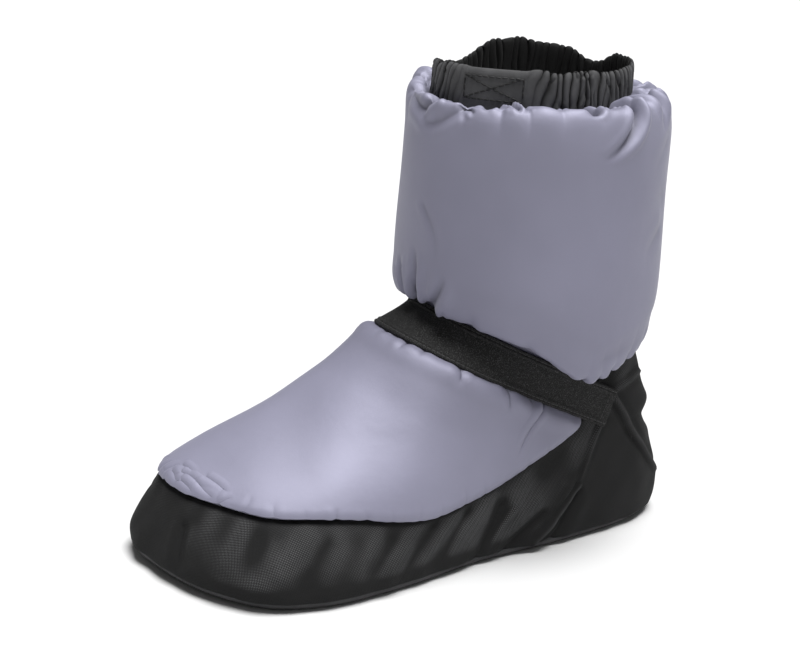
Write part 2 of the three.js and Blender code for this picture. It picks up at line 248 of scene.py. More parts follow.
# Creases of the shaft over its hem, as above, with runs upwards from the hem line.
HEM_CREASES = (
    (0, -2, 2, 28, 1.5, 3.0, 2.4),
    (-9, -2, -13, 22, -1.0, 3.2, 2.6),
    (-19, -2, -22, 16, 0.5, 2.0, 2.2),
    (12, 0, 22, 22, 2.0, 2.4, 2.4),
    (34, -2, 38, 10, 0.5, 0.6, 2.4),
    (63, -2, 60, 8, 0.5, 0.5, 2.6),
    (90, -3, 89, 6, 0.5, 1.4, 2.0),
    (97, -3, 98, 7, 0.5, 1.6, 2.0),
    (106, -3, 105, 8, -0.5, 1.7, 2.0),
    (118, -3, 116, 10, 0.5, 1.6, 2.2),
    (132, -3, 134, 14, 0.5, 1.6, 2.2),
    (98, 14, 126, 8, -1.5, 0.5, 4.0),
    (128, 64, 114, 58, 1.0, 0.6, 3.6),
    (131, 80, 118, 86, 1.0, 0.35, 3.8),
    (128, 108, 116, 99, 1.0, 0.4, 3.8),
    (8, 50, 15, 22, -5.0, 0.5, 2.2),
    (152, -3, 150, 14, 0.5, 1.6, 2.2),
    (178, -3, 180, 18, 0.5, 1.8, 2.4),
    (203, -3, 206, 14, 0.5, 1.6, 2.2),
    (229, -3, 226, 18, 0.5, 1.8, 2.2),
    (252, -3, 254, 14, 0.5, 1.4, 2.2),
    (276, -3, 272, 18, 0.5, 1.8, 2.2),
    (301, -3, 304, 16, 0.5, 1.6, 2.2),
    (328, -3, 324, 20, 0.5, 1.8, 2.4),
)

# Creases of the vamp. Columns: deepest end as x and run across from the ridge, + outwards, fading
# end likewise, sideways bow, depth, width, all in millimetres.
VAMP_CREASES = (
    (-42, 86, -27, 106, 1.5, 1.2, 1.2),
    (-60, 92, -46, 84, 1.0, 1.5, 1.8),
    (-54, 80, -44, 88, -2.0, 0.8, 1.4),
    (-34, -86, -22, -98, 1.5, 1.2, 2.4),
    (-50, -84, -40, -92, -1.5, 0.8, 2.4),
    (-30, 70, -8, 58, 3.0, 0.9, 3.2),
    (-26, -70, -6, -56, -3.0, 0.9, 3.2),
)

# Crinkles of the vamp at the toe, as above, in run along the seam from the toe, + inwards, and
# distance from the seam.
TOE_CREASES = (
    (2, 7, -24, 4, 1.2, 0.9, 0.9),
    (-2, 4, -13, 1.5, 0.4, 0.8, 0.8),
    (-12, 6, -27, 2, -0.6, 0.7, 0.8),
    (9, 5, 0, 2, 0.5, 0.8, 0.9),
    (6, 10, -9, 8, 0.8, 0.6, 1.0),
    (-16, 10, -33, 5, 0.8, 0.5, 1.0),
    (14, 3, 9, 9, 0.6, 0.7, 1.0),
    (20, 1, 17, 8, 0.4, 0.6, 1.0),
    (-30, 1, -36, 4, 0.4, 0.5, 1.0),
    (29, 1, 27, 7, 0.4, 0.6, 1.0),
)

# Bites of the strap into the vamp, as above, in run along the strap from the top of the instep,
# + to the outer side, and distance below its lower edge.
STRAP_CREASES = (
    (19, -2, 22, 6, 0.5, 1.8, 1.5),
    (29, -2, 30, 5, 0.3, 1.2, 1.3),
    (43, -2, 47, 8, 0.5, 1.6, 1.4),
    (62, -2, 66, 9, 0.8, 2.0, 1.5),
    (74, -2, 76, 6, 0.5, 1.2, 1.5),
    (6, -2, 4, 5, 0.5, 1.0, 1.5),
    (-14, -2, -17, 7, 0.5, 1.6, 1.5),
    (-31, -2, -32, 5, 0.5, 1.2, 1.4),
    (-48, -2, -52, 8, 0.5, 0.9, 1.8),
    (-66, -2, -69, 6, 0.5, 0.3, 1.8),
)

# Folds of the rand. Columns: deepest end as run round from the toe along the outer side and height,
# fading end likewise, sideways bow, depth, width, all in millimetres. A minus depth makes a raised
# crest instead, which gets a painted highlight along it.
RAND_FOLDS = (
    (214, 30, 176, -32, -2.0, 1.5, 4.2),
    (240, 20, 190, -20, 2.0, 1.5, 3.6),
    (262, 26, 222, -22, -3.0, 1.6, 3.8),
    (284, 75, 331, 20, 1.5, -1.5, 1.3),
    (330, 24, 290, 66, -1.0, -0.9, 1.4),
    (276, 66, 262, 29, 2.0, -1.1, 1.3),
    (263, 31, 233, 4, -1.0, -1.2, 1.3),
    (236, 6, 262, 30, 1.0, -0.7, 1.4),
    (222, 26, 205, 4, 1.0, -1.0, 1.3),
    (332, 55, 296, 62, 1.5, 1.8, 3.6),
    (306, 84, 281, 78, 1.0, -1.2, 1.4),
    (192, 32, 172, 4, 1.0, 1.0, 3.0),
    (170, 30, 146, 0, 1.0, 1.1, 4.0),
    (146, 28, 128, 8, -1.0, 0.9, 4.0),
    (112, 32, 100, 8, 2.0, 0.9, 4.5),
    (76, 34, 70, 12, 1.0, 0.7, 4.5),
    (30, 32, 34, 8, 0.5, 1.2, 2.6),
    (350, 55, 380, 62, 1.5, 2.2, 3.6),
    (394, 76, 352, 20, -2.0, -1.4, 1.4),
    (404, 64, 418, 26, -2.0, -1.1, 1.4),
    (416, 30, 446, 2, 1.0, -1.1, 1.4),
    (426, 44, 448, 4, -2.0, 1.5, 3.8),
    (452, 36, 488, -24, 3.0, 1.6, 4.0),
    (482, 30, 512, -22, -2.0, 1.4, 4.0),
    (508, 26, 534, -10, 2.0, 1.2, 4.2),
    (560, 28, 574, 6, -2.0, 1.0, 4.5),
    (612, 32, 624, 8, 2.0, 1.0, 4.5),
    (652, 34, 650, 10, 0.5, 1.1, 3.0),
)

# Section of the collar from the seam up its outer face, over the rim and down inside. Columns: rise,
# as a share of the collar's height; millimetres outwards from its outer face.
COLLAR_SECTION = (
    (0.0, 0.0),
    (0.25, 0.1),
    (0.5, 0.2),
    (0.8, 0.0),
    (0.92, -0.3),
    (0.985, -1.1),
    (1.0, -2.0),
    (0.985, -2.9),
    (0.9, -3.6),
    (0.6, -3.8),
    (0.1, -3.8),
    (-0.1, -3.4),
    (-0.1, -0.4),
)
COLLAR_MIDDLE = -1.9  # half way between its two faces

# Flat patch of the collar with its cross stitch: turns of its ends and the rise of its lower and upper
# edge, as shares of the collar's height.
PATCH = (20.0, 55.0, 0.45, 0.84)

FOOT_LENGTH = RAND_HIGH.x - RAND_LOW.x
BALL_WIDTH = (RAND_HIGH.y - RAND_LOW.y) / WIDEST
INSTEP_HEIGHT = 122 * MM
BELLY_HEIGHT = 10 * MM
TUCK = 4 * MM
TOE_SPRING = 2.5 * MM
BALL_STATION = 0.75
SOLE_THICKNESS = 5 * MM
INSOLE_THICKNESS = 4.5 * MM
LEAST_REACH = 1.4 * MM

SHAFT_LENGTH = 134.5 * MM
SHAFT_WIDTH = UPPER_HIGH.y - UPPER_LOW.y
SHAFT_HEIGHT = UPPER_HIGH.z
SHAFT_X = -54.5 * MM
HEM_ROLL = 25 * MM
SHOULDER_ROLL = 28 * MM
CUFF_X = (CUFF_LOW.x + CUFF_HIGH.x) / 2
CUFF_LENGTH = 102 * MM
CUFF_WIDTH = 88 * MM
CUFF_RISE = 10 * MM
CUFF_DEPTH = 16 * MM
MM_PER_DEGREE = math.pi / 360 * (SHAFT_LENGTH + SHAFT_WIDTH) / 2 / MM  # run round the shaft

STRAP_WIDTH = 20 * MM
STRAP_SLOPE = math.radians(24.5)
STRAP_FACE = 2.35 * MM
STRAP_CORNER = ((0.213 - 0.5) * FOOT_LENGTH, 0.508 * INSTEP_HEIGHT)


def refined(rows, steps):
    """A table made finer, with each column on a Catmull-Rom curve through its rows."""
    table = np.array(rows, float)
    held = np.concatenate([table[:1], table, table[-1:]])
    fine = []
    for i in range(len(table) - 1):
        a, b, c, d = held[i : i + 4]
        for t in np.arange(steps) / steps:
            cubic = (2 * a - 5 * b + 4 * c - d) * t**2 + (3 * b - a - 3 * c + d) * t**3
            fine.append((2 * b + (c - a) * t + cubic) / 2)
    fine.append(table[-1])
    return np.array(fine)


FOOT = refined(FOOT_SECTIONS, 24)
RAND = refined(RAND_LINE, 24)
HEM = refined(HEM_LINE, 12)
RIM = refined(RIM_LINE, 12)


def spring(x):
    """Lift of the sole's underside at x."""
    start = (BALL_STATION - 0.5) * FOOT_LENGTH
    return TOE_SPRING * (np.maximum(x - start, 0) / (FOOT_LENGTH / 2 - start)) ** 2


def foot_sizes(x, inset=0.0):
    """Half widths, ridge, top, squareness and belly height of the foot part at x."""
    station = x / (FOOT_LENGTH - 2 * inset) + 0.5
    outer, inner, ridge, top, square = (np.interp(station, FOOT[:, 0], FOOT[:, k]) for k in range(1, 6))
    ridge = ridge * BALL_WIDTH
    belly = spring(x) + BELLY_HEIGHT
    outer = np.maximum(outer * BALL_WIDTH - ridge - inset, LEAST_REACH)
    inner = np.maximum(ridge - inner * BALL_WIDTH - inset, LEAST_REACH)
    top = np.maximum(top * INSTEP_HEIGHT - inset, belly + LEAST_REACH)
    return outer, inner, ridge, top, square, belly


def foot_reach(x, z, outside, inset=0.0):
    """Half width of the foot part at a height, on its outer or its inner side."""
    outer, inner, _, top, square, belly = foot_sizes(x, inset)
    high = np.clip((z - belly) / (top - belly), 0, 1)
    return np.where(outside, outer, inner) * (1 - high**square) ** (1 / square)


def inside_foot(x, y, z, inset=0.0):
    """Where points lie in the foot part, over its belly line."""
    _, _, ridge, top, _, _ = foot_sizes(x, inset)
    reach = foot_reach(x, z, y >= ridge, inset)
    return (np.abs(x) < FOOT_LENGTH / 2 - inset) & (z < top) & (np.abs(y - ridge) < reach)


def rand_rise(x):
    """Height of the rand's upper edge at x."""
    return np.interp(x / FOOT_LENGTH + 0.5, RAND[:, 0], RAND[:, 1]) * INSTEP_HEIGHT


def hem_height(turn):
    """Height of the hem line at a turn in radians from the front."""
    from_front = 180 - np.abs(180 - np.degrees(turn) % 360)
    return np.interp(from_front, HEM[:, 0], HEM[:, 1]) * INSTEP_HEIGHT


def run_length(points):
    """Distance run along the first axis of an array of points."""
    steps = np.linalg.norm(np.diff(points, axis=0), axis=-1)
    return np.concatenate([np.zeros((1,) + steps.shape[1:]), np.cumsum(steps, axis=0)])


def respaced(points, count, closed=False):
    """A line of points as count points at even distances."""
    line = np.concatenate([points, points[:1]]) if closed else points
    run = run_length(line)
    at = np.linspace(0, run[-1], count + 1)[:-1] if closed else np.linspace(0, run[-1], count)
    return np.stack([np.interp(at, run, line[:, k]) for k in range(3)], axis=1)


def around(values, window):
    """Values round a closed line, each the mean of its neighbours."""
    kernel = np.hanning(window + 2)[1:-1]
    kernel /= kernel.sum()
    half = window // 2
    wrapped = np.concatenate([values[-half:], values, values[:half]])
    return np.stack([np.convolve(wrapped[:, k], kernel, "valid") for k in range(values.shape[1])], axis=1)


def foot_plan(count, inset=0.0):
    """Belly line of the foot part in plan, from the toe along the outer side to the heel and back."""
    x = (FOOT[:, 0] - 0.5) * (FOOT_LENGTH - 2 * inset)
    outer, inner, ridge, _, _, _ = foot_sizes(x, inset)
    flat = np.zeros_like(x)
    outer_side = np.stack([x, ridge + outer, flat], axis=1)[::-1]
    inner_side = np.stack([x, ridge - inner, flat], axis=1)
    line = respaced(np.concatenate([outer_side, inner_side]), count, closed=True)
    return around(line, 9)


def plan_inward(line):
    """Inward direction in plan at each point of a closed line."""
    along = np.roll(line, -1, axis=0) - np.roll(line, 1, axis=0)
    inward = np.stack([along[:, 1], -along[:, 0], np.zeros(len(line))], axis=1)
    inward /= np.linalg.norm(inward, axis=1, keepdims=True)
    middle = line.mean(axis=0)
    facing = np.sign(((middle - line) * inward).sum())
    return inward * facing


def drawn_in(line, inward, z):
    """How far the foot part's skin lies inwards of its plan line at heights z, one row per height."""
    deepest = 55 * MM
    near = np.zeros(z.shape)
    far = np.full(z.shape, deepest)
    for _ in range(22):
        middle = (near + far) / 2
        points = line + inward * middle[..., None]
        held = inside_foot(points[..., 0], points[..., 1], np.maximum(z, BELLY_HEIGHT))
        far = np.where(held, middle, far)
        near = np.where(held, near, middle)
    low = np.clip((spring(line[:, 0]) + BELLY_HEIGHT - z) / BELLY_HEIGHT, 0, 1)
    return far + TUCK * (1 - np.sqrt(1 - low**2))


def grid_normals(points, closed_round=True):
    """Unit normals of a grid of points, rows upwards and columns round."""
    if closed_round:
        across = np.roll(points, -1, axis=1) - np.roll(points, 1, axis=1)
    else:
        across = np.gradient(points, axis=1)
    up = np.gradient(points, axis=0)
    normals = np.cross(across, up)
    size = np.linalg.norm(normals, axis=-1, keepdims=True)
    return normals / np.maximum(size, 1e-12)


def upward_normals(points):
    """Unit normals of an open grid of points, all turned so that its middle faces up."""
    normals = grid_normals(points, closed_round=False)
    rows, columns = normals.shape[:2]
    return normals * np.sign(normals[rows // 2, columns // 2, 2])


def creases(u, v, rows, round_length=None):
    """Height of creases in metres. A row is the crease's deepest end and fading end in the
    cloth's own millimetres, its sideways bow, its depth and its width. The trough is sharp, with a soft
    crest on each side."""
    height = np.zeros(u.shape)
    for from_u, from_v, to_u, to_v, bow, depth, width in rows:
        run_u, run_v = to_u - from_u, to_v - from_v
        length = math.hypot(run_u, run_v)
        a = u - from_u
        if round_length:
            a = (a + round_length / 2) % round_length - round_length / 2
        b = v - from_v
        t = (a * run_u + b * run_v) / length**2
        side = (a * run_v - b * run_u) / length - bow * 4 * np.clip(t, 0, 1) * (1 - np.clip(t, 0, 1))
        past = np.maximum(np.maximum(-t, t - 1), 0) * length
        fade = np.cos(np.clip(t, 0, 1) * math.pi / 2) * np.exp(-((past / width) ** 2))
        trough = 1.25 * np.exp(-((np.abs(side) / width) ** 1.25))
        crest = 0.75 * np.exp(-(((side - 2.2 * width) / (1.2 * width)) ** 2))
        back = 0.45 * np.exp(-(((side + 2.1 * width) / (1.2 * width)) ** 2))
        height += depth * fade * (crest + back - trough)
    return height * MM


def puckers(rng, places, start, away, length, depth, width):
    """Rows of small creases that start on a seam: away is + or - along v."""
    rows = []
    for place in places:
        u = place + rng.uniform(-1, 1) * 1.5
        reach = length * rng.uniform(0.5, 1.3)
        lean = rng.uniform(-0.45, 0.45) * reach
        deep = depth * rng.uniform(0.35, 1.0)
        bow, wide = rng.uniform(-1, 1), width * rng.uniform(0.7, 1.3)
        rows.append((u, start, u + lean, start + away * reach, bow, deep, wide))
    return rows


def crumples(rng, count, length, ranges, both_ways=False):
    """Small creases at random places of a closed band of cloth. The ranges are those of the run up the
    cloth, slant, reach, bow, depth and width."""
    runs, slants, reaches, bows, depths, widths = ranges
    rows = []
    for _ in range(count):
        u, v = rng.uniform(0, length), rng.uniform(*runs)
        slant, reach = rng.uniform(*slants), rng.uniform(*reaches)
        way = rng.choice((-1, 1)) if both_ways else 1
        to_u, to_v = u + reach * math.sin(slant), v + reach * math.cos(slant) * way
        bow, deep, wide = rng.uniform(*bows), rng.uniform(*depths), rng.uniform(*widths)
        rows.append((u, v, to_u, to_v, bow, deep, wide))
    return rows


def billow(rng, u, v, length, scale, height):
    """Soft wide waves over a cloth of a closed length, in metres."""
    waves = np.zeros(u.shape)
    for _ in range(9):
        turns = max(1, round(length / scale * rng.uniform(0.4, 1.4)))
        lean = rng.uniform(-1, 1) / scale * 2 * math.pi
        waves += np.cos(u / length * 2 * math.pi * turns + v * lean + rng.uniform(0, 2 * math.pi))
    return waves / 9 * 2 * height * MM


def smooth(value, low, high):
    """0 under low, 1 over high, and a smooth rise between."""
    t = np.clip((value - low) / (high - low), 0, 1)
    return t * t * (3 - 2 * t)


def grid_faces(rows, columns, closed_round, closed_rows):
    """Corner numbers of the quads of a grid."""
    r = np.arange(rows if closed_rows else rows - 1)
    c = np.arange(columns if closed_round else columns - 1)
    here, side = np.meshgrid(r, c, indexing="ij")
    up, next_side = (here + 1) % rows, (side + 1) % columns
    pairs = ((here, side), (here, next_side), (up, next_side), (up, side))
    return np.stack([(row * columns + column).ravel() for row, column in pairs], axis=1)


def cloth_mesh(name, points, u, v, closed_round=True, closed_rows=False):
    """A mesh from a grid of points, with the cloth's own run in metres as its UV map."""
    rows, columns = points.shape[:2]
    faces = grid_faces(rows, columns, closed_round, closed_rows)
    mesh = bpy.data.meshes.new(name)
    mesh.vertices.add(rows * columns)
    mesh.vertices.foreach_set("co", points.reshape(-1).astype(np.float32))
    mesh.loops.add(faces.size)
    mesh.loops.foreach_set("vertex_index", faces.ravel().astype(np.int32))
    mesh.polygons.add(len(faces))
    mesh.polygons.foreach_set("loop_start", np.arange(0, faces.size, 4, dtype=np.int32))
    mesh.update(calc_edges=True)
    layer = mesh.uv_layers.new(name="Cloth")
    flat_u, flat_v = u.ravel()[faces], v.ravel()[faces]
    if closed_round:
        wraps = (faces % columns == 0) & (faces[:, :1] % columns == columns - 1)
        round_run = (u[:, -1] + (u[:, -1] - u[:, -2]))[faces // columns % rows]
        flat_u = np.where(wraps, round_run, flat_u)
    layer.data.foreach_set("uv", np.stack([flat_u, flat_v], axis=-1).ravel().astype(np.float32))
    mesh.polygons.foreach_set("use_smooth", np.ones(len(faces), bool))
    mesh.update()
    piece = bpy.data.objects.new(name, mesh)
    bpy.context.scene.collection.objects.link(piece)
    return piece


def mark_folds(piece, name, values):
    """Keeps a value for each point of a grid as an attribute that the material reads."""
    attribute = piece.data.attributes.new(name, "FLOAT", "POINT")
    attribute.data.foreach_set("value", values.ravel().astype(np.float32))


def select_none():
    """Takes every object out of the selection."""
    for other in bpy.context.view_layer.objects:
        other.select_set(False)


def only(piece):
    """Makes one object the selected and active one."""
    select_none()
    piece.select_set(True)
    bpy.context.view_layer.objects.active = piece
    return piece


def apply_modifiers(piece):
    """Applies all the modifiers of an object."""
    only(piece)
    for modifier in list(piece.modifiers):
        bpy.ops.object.modifier_apply(modifier=modifier.name)


def face_out(piece):
    """Turns all faces of a closed mesh outwards, after its doubles are merged."""
    only(piece)
    bpy.ops.object.mode_set(mode="EDIT")
    bpy.ops.mesh.select_all(action="SELECT")
    bpy.ops.mesh.remove_doubles(threshold=0.01 * MM)
    bpy.ops.mesh.normals_make_consistent(inside=False)
    bpy.ops.object.mode_set(mode="OBJECT")


def dress(piece, material, slot, *nodes):
    """Gives a finished piece its material and body, and hides the nodes that it stands for. The slot is
    not used.
    """
    piece.data.materials.clear()
    piece.data.materials.append(material)
    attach(piece, "root")
    if nodes:
        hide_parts(*nodes)


def node_tree(material):
    """The material's tree with an empty canvas and its shader."""
    material.use_nodes = True
    tree = material.node_tree
    tree.nodes.clear()
    out = tree.nodes.new("ShaderNodeOutputMaterial")
    shader = tree.nodes.new("ShaderNodeBsdfPrincipled")
    tree.links.new(shader.outputs["BSDF"], out.inputs["Surface"])
    return tree, shader


def math_node(tree, operation, a, b=None):
    """A Math node fed by sockets or numbers."""
    node = tree.nodes.new("ShaderNodeMath")
    node.operation = operation
    for socket, value in zip(node.inputs, (a, b)):
        if value is None:
            continue
        if isinstance(value, (int, float)):
            socket.default_value = value
        else:
            tree.links.new(value, socket)
    return node.outputs[0]


def group_tree(name, inputs, outputs):
    """An empty shader group with named sockets."""
    group = bpy.data.node_groups.new(name, "ShaderNodeTree")
    for label, kind, value in inputs:
        socket = group.interface.new_socket(name=label, in_out="INPUT", socket_type=kind)
        if value is not None:
            socket.default_value = value
    for label, kind in outputs:
        group.interface.new_socket(name=label, in_out="OUTPUT", socket_type=kind)
    return group, group.nodes.new("NodeGroupInput"), group.nodes.new("NodeGroupOutput")


def thread_round(tree, across):
    """Rounded threads, one for each whole step across."""
    wave = math_node(tree, "SINE", math_node(tree, "MULTIPLY", across, math.pi))
    return math_node(tree, "ABSOLUTE", wave)


def threads_group():
    """Warp and weft threads on the cloth's own run: their height, and a mask of the raised warp."""
    name = "Woven threads"
    if name in bpy.data.node_groups:
        return bpy.data.node_groups[name]
    inputs = [
        ("Run", "NodeSocketVector", None),
        ("Pitch", "NodeSocketFloat", 1.0 * MM),
        ("Float", "NodeSocketFloat", 2.0),
    ]
    outputs = [("Height", "NodeSocketFloat"), ("Warp", "NodeSocketFloat")]
    tree, given, made = group_tree(name, inputs, outputs)
    parts = tree.nodes.new("ShaderNodeSeparateXYZ")
    tree.links.new(given.outputs["Run"], parts.inputs[0])
    pitch = given.outputs["Pitch"]
    warp = math_node(tree, "DIVIDE", parts.outputs["X"], pitch)
    weft = math_node(tree, "DIVIDE", parts.outputs["Y"], pitch)
    warp_cell = math_node(tree, "FLOOR", warp)
    weft_cell = math_node(tree, "FLOOR", weft)
    step = math_node(tree, "ADD", warp_cell, weft_cell)
    double = math_node(tree, "MULTIPLY", given.outputs["Float"], 2.0)
    cell = math_node(tree, "FLOORED_MODULO", step, double)
    over = math_node(tree, "LESS_THAN", cell, given.outputs["Float"])
    warp_round = thread_round(tree, warp)
    weft_round = thread_round(tree, weft)
    raised = math_node(tree, "MULTIPLY", warp_round, over)
    sunk = math_node(tree, "MULTIPLY", weft_round, math_node(tree, "SUBTRACT", 1.0, over))
    tree.links.new(math_node(tree, "ADD", raised, sunk), made.inputs["Height"])
    tree.links.new(raised, made.inputs["Warp"])
    return tree


def noise_node(tree, vector, scale, detail=3.0, roughness=0.55):
    """A Noise Texture's factor."""
    node = tree.nodes.new("ShaderNodeTexNoise")
    node.inputs["Scale"].default_value = scale
    node.inputs["Detail"].default_value = detail
    node.inputs["Roughness"].default_value = roughness
    tree.links.new(vector, node.inputs["Vector"])
    return node.outputs["Fac"]


def ramp_node(tree, value, stops):
    """A Color Ramp through stops of (place, colour)."""
    node = tree.nodes.new("ShaderNodeValToRGB")
    ramp = node.color_ramp
    while len(ramp.elements) < len(stops):
        ramp.elements.new(0.5)
    for element, (place, colour) in zip(ramp.elements, stops):
        element.position = place
        element.color = (*colour, 1.0)
    tree.links.new(value, node.inputs["Fac"])
    return node.outputs["Color"]


def bump_node(tree, height, distance, strength, normal=None):
    """A Bump node over a height, on top of another normal where one is given."""
    node = tree.nodes.new("ShaderNodeBump")
    node.inputs["Distance"].default_value = distance
    node.inputs["Strength"].default_value = strength
    tree.links.new(height, node.inputs["Height"])
    if normal is not None:
        tree.links.new(normal, node.inputs["Normal"])
    return node.outputs["Normal"]


def threads_node(tree, pitch, float_over, turned=0.0):
    """The woven threads of one material, on its UV run."""
    uv = tree.nodes.new("ShaderNodeUVMap")
    uv.uv_map = "Cloth"
    mapping = tree.nodes.new("ShaderNodeMapping")
    mapping.inputs["Rotation"].default_value = (0, 0, turned)
    tree.links.new(uv.outputs["UV"], mapping.inputs["Vector"])
    node = tree.nodes.new("ShaderNodeGroup")
    node.node_tree = threads_group()
    node.inputs["Pitch"].default_value = pitch
    node.inputs["Float"].default_value = float_over
    tree.links.new(mapping.outputs["Vector"], node.inputs["Run"])
    return node


def object_place(tree):
    """Object coordinates."""
    return tree.nodes.new("ShaderNodeTexCoord").outputs["Object"]


def fold_mask(tree, name):
    """The values that a piece keeps for its points."""
    node = tree.nodes.new("ShaderNodeAttribute")
    node.attribute_name = name
    return node.outputs["Fac"]


def mix_node(tree, factor, first, second):
    """A mix of two colours, each a socket or a plain colour."""
    node = tree.nodes.new("ShaderNodeMix")
    node.data_type = "RGBA"
    tree.links.new(factor, node.inputs["Factor"])
    for label, value in (("A", first), ("B", second)):
        if isinstance(value, tuple):
            node.inputs[label].default_value = (*value, 1.0)
        else:
            tree.links.new(value, node.inputs[label])
    return node.outputs["Result"]


def scaled(colour, factor):
    """A colour made lighter or darker."""
    return tuple(min(channel * factor, 1.0) for channel in colour)


def satin_material(colour):
    """Lavender-grey nylon satin: a tight weave with a soft wide sheen and fine crumple, and painted shade
    that darkens its creases and the inside of the shaft.
    """
    material = bpy.data.materials.new("Nylon satin")
    tree, shader = node_tree(material)
    place = object_place(tree)
    cloud = noise_node(tree, place, 14.0, 3.0)
    stops = [(0.3, scaled(colour, 0.93)), (0.7, scaled(colour, 1.06))]
    cloudy = ramp_node(tree, cloud, stops)
    # Painted shade: the colour darkens towards 0.35 of itself in creases and inside the shaft.
    crease_shade = fold_mask(tree, "Fold")
    mixed = mix_node(tree, math_node(tree, "MULTIPLY", crease_shade, 0.7), cloudy, scaled(colour, 0.35))
    tree.links.new(mixed, shader.inputs["Base Color"])
    threads = threads_node(tree, 0.42 * MM, 1.0)
    fine = bump_node(tree, threads.outputs["Height"], 0.05 * MM, 0.35)
    crumple = noise_node(tree, place, 95.0, 4.0, 0.6)
    soft = bump_node(tree, crumple, 1.1 * MM, 0.16, fine)
    tree.links.new(soft, shader.inputs["Normal"])
    shader.inputs["Roughness"].default_value = 0.62
    shader.inputs["Metallic"].default_value = 0.3
    shader.inputs["Sheen Weight"].default_value = 0.06
    shader.inputs["Sheen Roughness"].default_value = 0.35
    shader.inputs["Specular IOR Level"].default_value = 0.7
    return material


def twill_material(colour, pitch):
    """Near-black coarse twill fabric, worn grey at its foot, with painted highlights: light dots on its
    raised threads and light lines along raised crests.
    """
    material = bpy.data.materials.new("Woven rand fabric")
    tree, shader = node_tree(material)
    place = object_place(tree)
    threads = threads_node(tree, pitch, 1.0, math.radians(30))
    # Painted highlights: the raised warp threads show as light dots, as strong as the rand's glint values
    # and a patchy noise make them.
    dots = math_node(tree, "POWER", threads.outputs["Warp"], 1.6)
    patch = noise_node(tree, place, 34.0, 2.0)
    lit = math_node(tree, "MULTIPLY", fold_mask(tree, "Woven"), math_node(tree, "ADD", patch, 0.25))
    seen = math_node(tree, "MULTIPLY", dots, lit)
    stops = [(0.0, colour), (0.2, scaled(colour, 1.6)), (0.7, scaled(colour, 15.0))]
    weave = ramp_node(tree, seen, stops)
    parts = tree.nodes.new("ShaderNodeSeparateXYZ")
    tree.links.new(place, parts.inputs[0])
    rub_noise = noise_node(tree, place, 60.0, 3.0)
    rise = math_node(tree, "MULTIPLY_ADD", rub_noise, 6 * MM)
    rub = tree.nodes.new("ShaderNodeMapRange")
    rub.inputs["From Min"].default_value = 14 * MM
    rub.inputs["From Max"].default_value = 5 * MM
    tree.links.new(math_node(tree, "ADD", parts.outputs["Z"], rise), rub.inputs["Value"])
    footed = mix_node(tree, rub.outputs["Result"], weave, scaled(colour, 2.2))
    # Painted highlight: light lines along the raised crests of the rand.
    crest_highlight = mix_node(tree, fold_mask(tree, "Rubbed"), footed, scaled(colour, 5.0))
    tree.links.new(crest_highlight, shader.inputs["Base Color"])
    fine = bump_node(tree, threads.outputs["Height"], 0.25 * MM, 0.7)
    tree.links.new(fine, shader.inputs["Normal"])
    shader.inputs["Roughness"].default_value = 0.78
    shader.inputs["Specular IOR Level"].default_value = 0.22
    return material


def elastic_material(colour):
    """Black elastic webbing: tight cross ribs with a fine speckle."""
    material = bpy.data.materials.new("Elastic webbing")
    tree, shader = node_tree(material)
    threads = threads_node(tree, 0.7 * MM, 1.0)
    speckle = noise_node(tree, object_place(tree), 2300.0, 1.0)
    stops = [(0.4, scaled(colour, 0.7)), (0.55, scaled(colour, 1.6)), (0.68, scaled(colour, 7.0))]
    tree.links.new(ramp_node(tree, speckle, stops), shader.inputs["Base Color"])
    ribs = bump_node(tree, threads.outputs["Height"], 0.15 * MM, 0.5)
    tree.links.new(bump_node(tree, speckle, 0.25 * MM, 0.6, ribs), shader.inputs["Normal"])
    shader.inputs["Roughness"].default_value = 0.8
    shader.inputs["Specular IOR Level"].default_value = 0.3
    return material


def cuff_material(colour):
    """Charcoal plain-weave collar fabric, with painted shade that darkens its pleat valleys, crumple
    troughs and inner face.
    """
    material = bpy.data.materials.new("Collar fabric")
    tree, shader = node_tree(material)
    place = object_place(tree)
    threads = threads_node(tree, 0.5 * MM, 1.0)
    cloud = noise_node(tree, place, 70.0, 3.0)
    stops = [(0.3, scaled(colour, 0.75)), (0.7, scaled(colour, 1.25))]
    cloudy = ramp_node(tree, cloud, stops)
    # Painted shade: pleat valleys, crumple troughs and the inner face darken towards 0.08 of the colour.
    mixed = mix_node(tree, fold_mask(tree, "Fold"), cloudy, scaled(colour, 0.08))
    tree.links.new(mixed, shader.inputs["Base Color"])
    fine = bump_node(tree, threads.outputs["Height"], 0.12 * MM, 0.5)
    crumple = noise_node(tree, place, 260.0, 3.0)
    tree.links.new(bump_node(tree, crumple, 0.5 * MM, 0.3, fine), shader.inputs["Normal"])
    shader.inputs["Roughness"].default_value = 0.7
    shader.inputs["Specular IOR Level"].default_value = 0.25
    shader.inputs["Sheen Weight"].default_value = 0.05
    return material


def knit_material(colour):
    """Dark brushed lining."""
    material = bpy.data.materials.new("Brushed lining")
    tree, shader = node_tree(material)
    fuzz = noise_node(tree, object_place(tree), 420.0, 4.0)
    stops = [(0.35, scaled(colour, 0.7)), (0.65, scaled(colour, 1.3))]
    tree.links.new(ramp_node(tree, fuzz, stops), shader.inputs["Base Color"])
    tree.links.new(bump_node(tree, fuzz, 0.6 * MM, 0.6), shader.inputs["Normal"])
    shader.inputs["Roughness"].default_value = 0.95
    shader.inputs["Sheen Weight"].default_value = 0.2
    return material


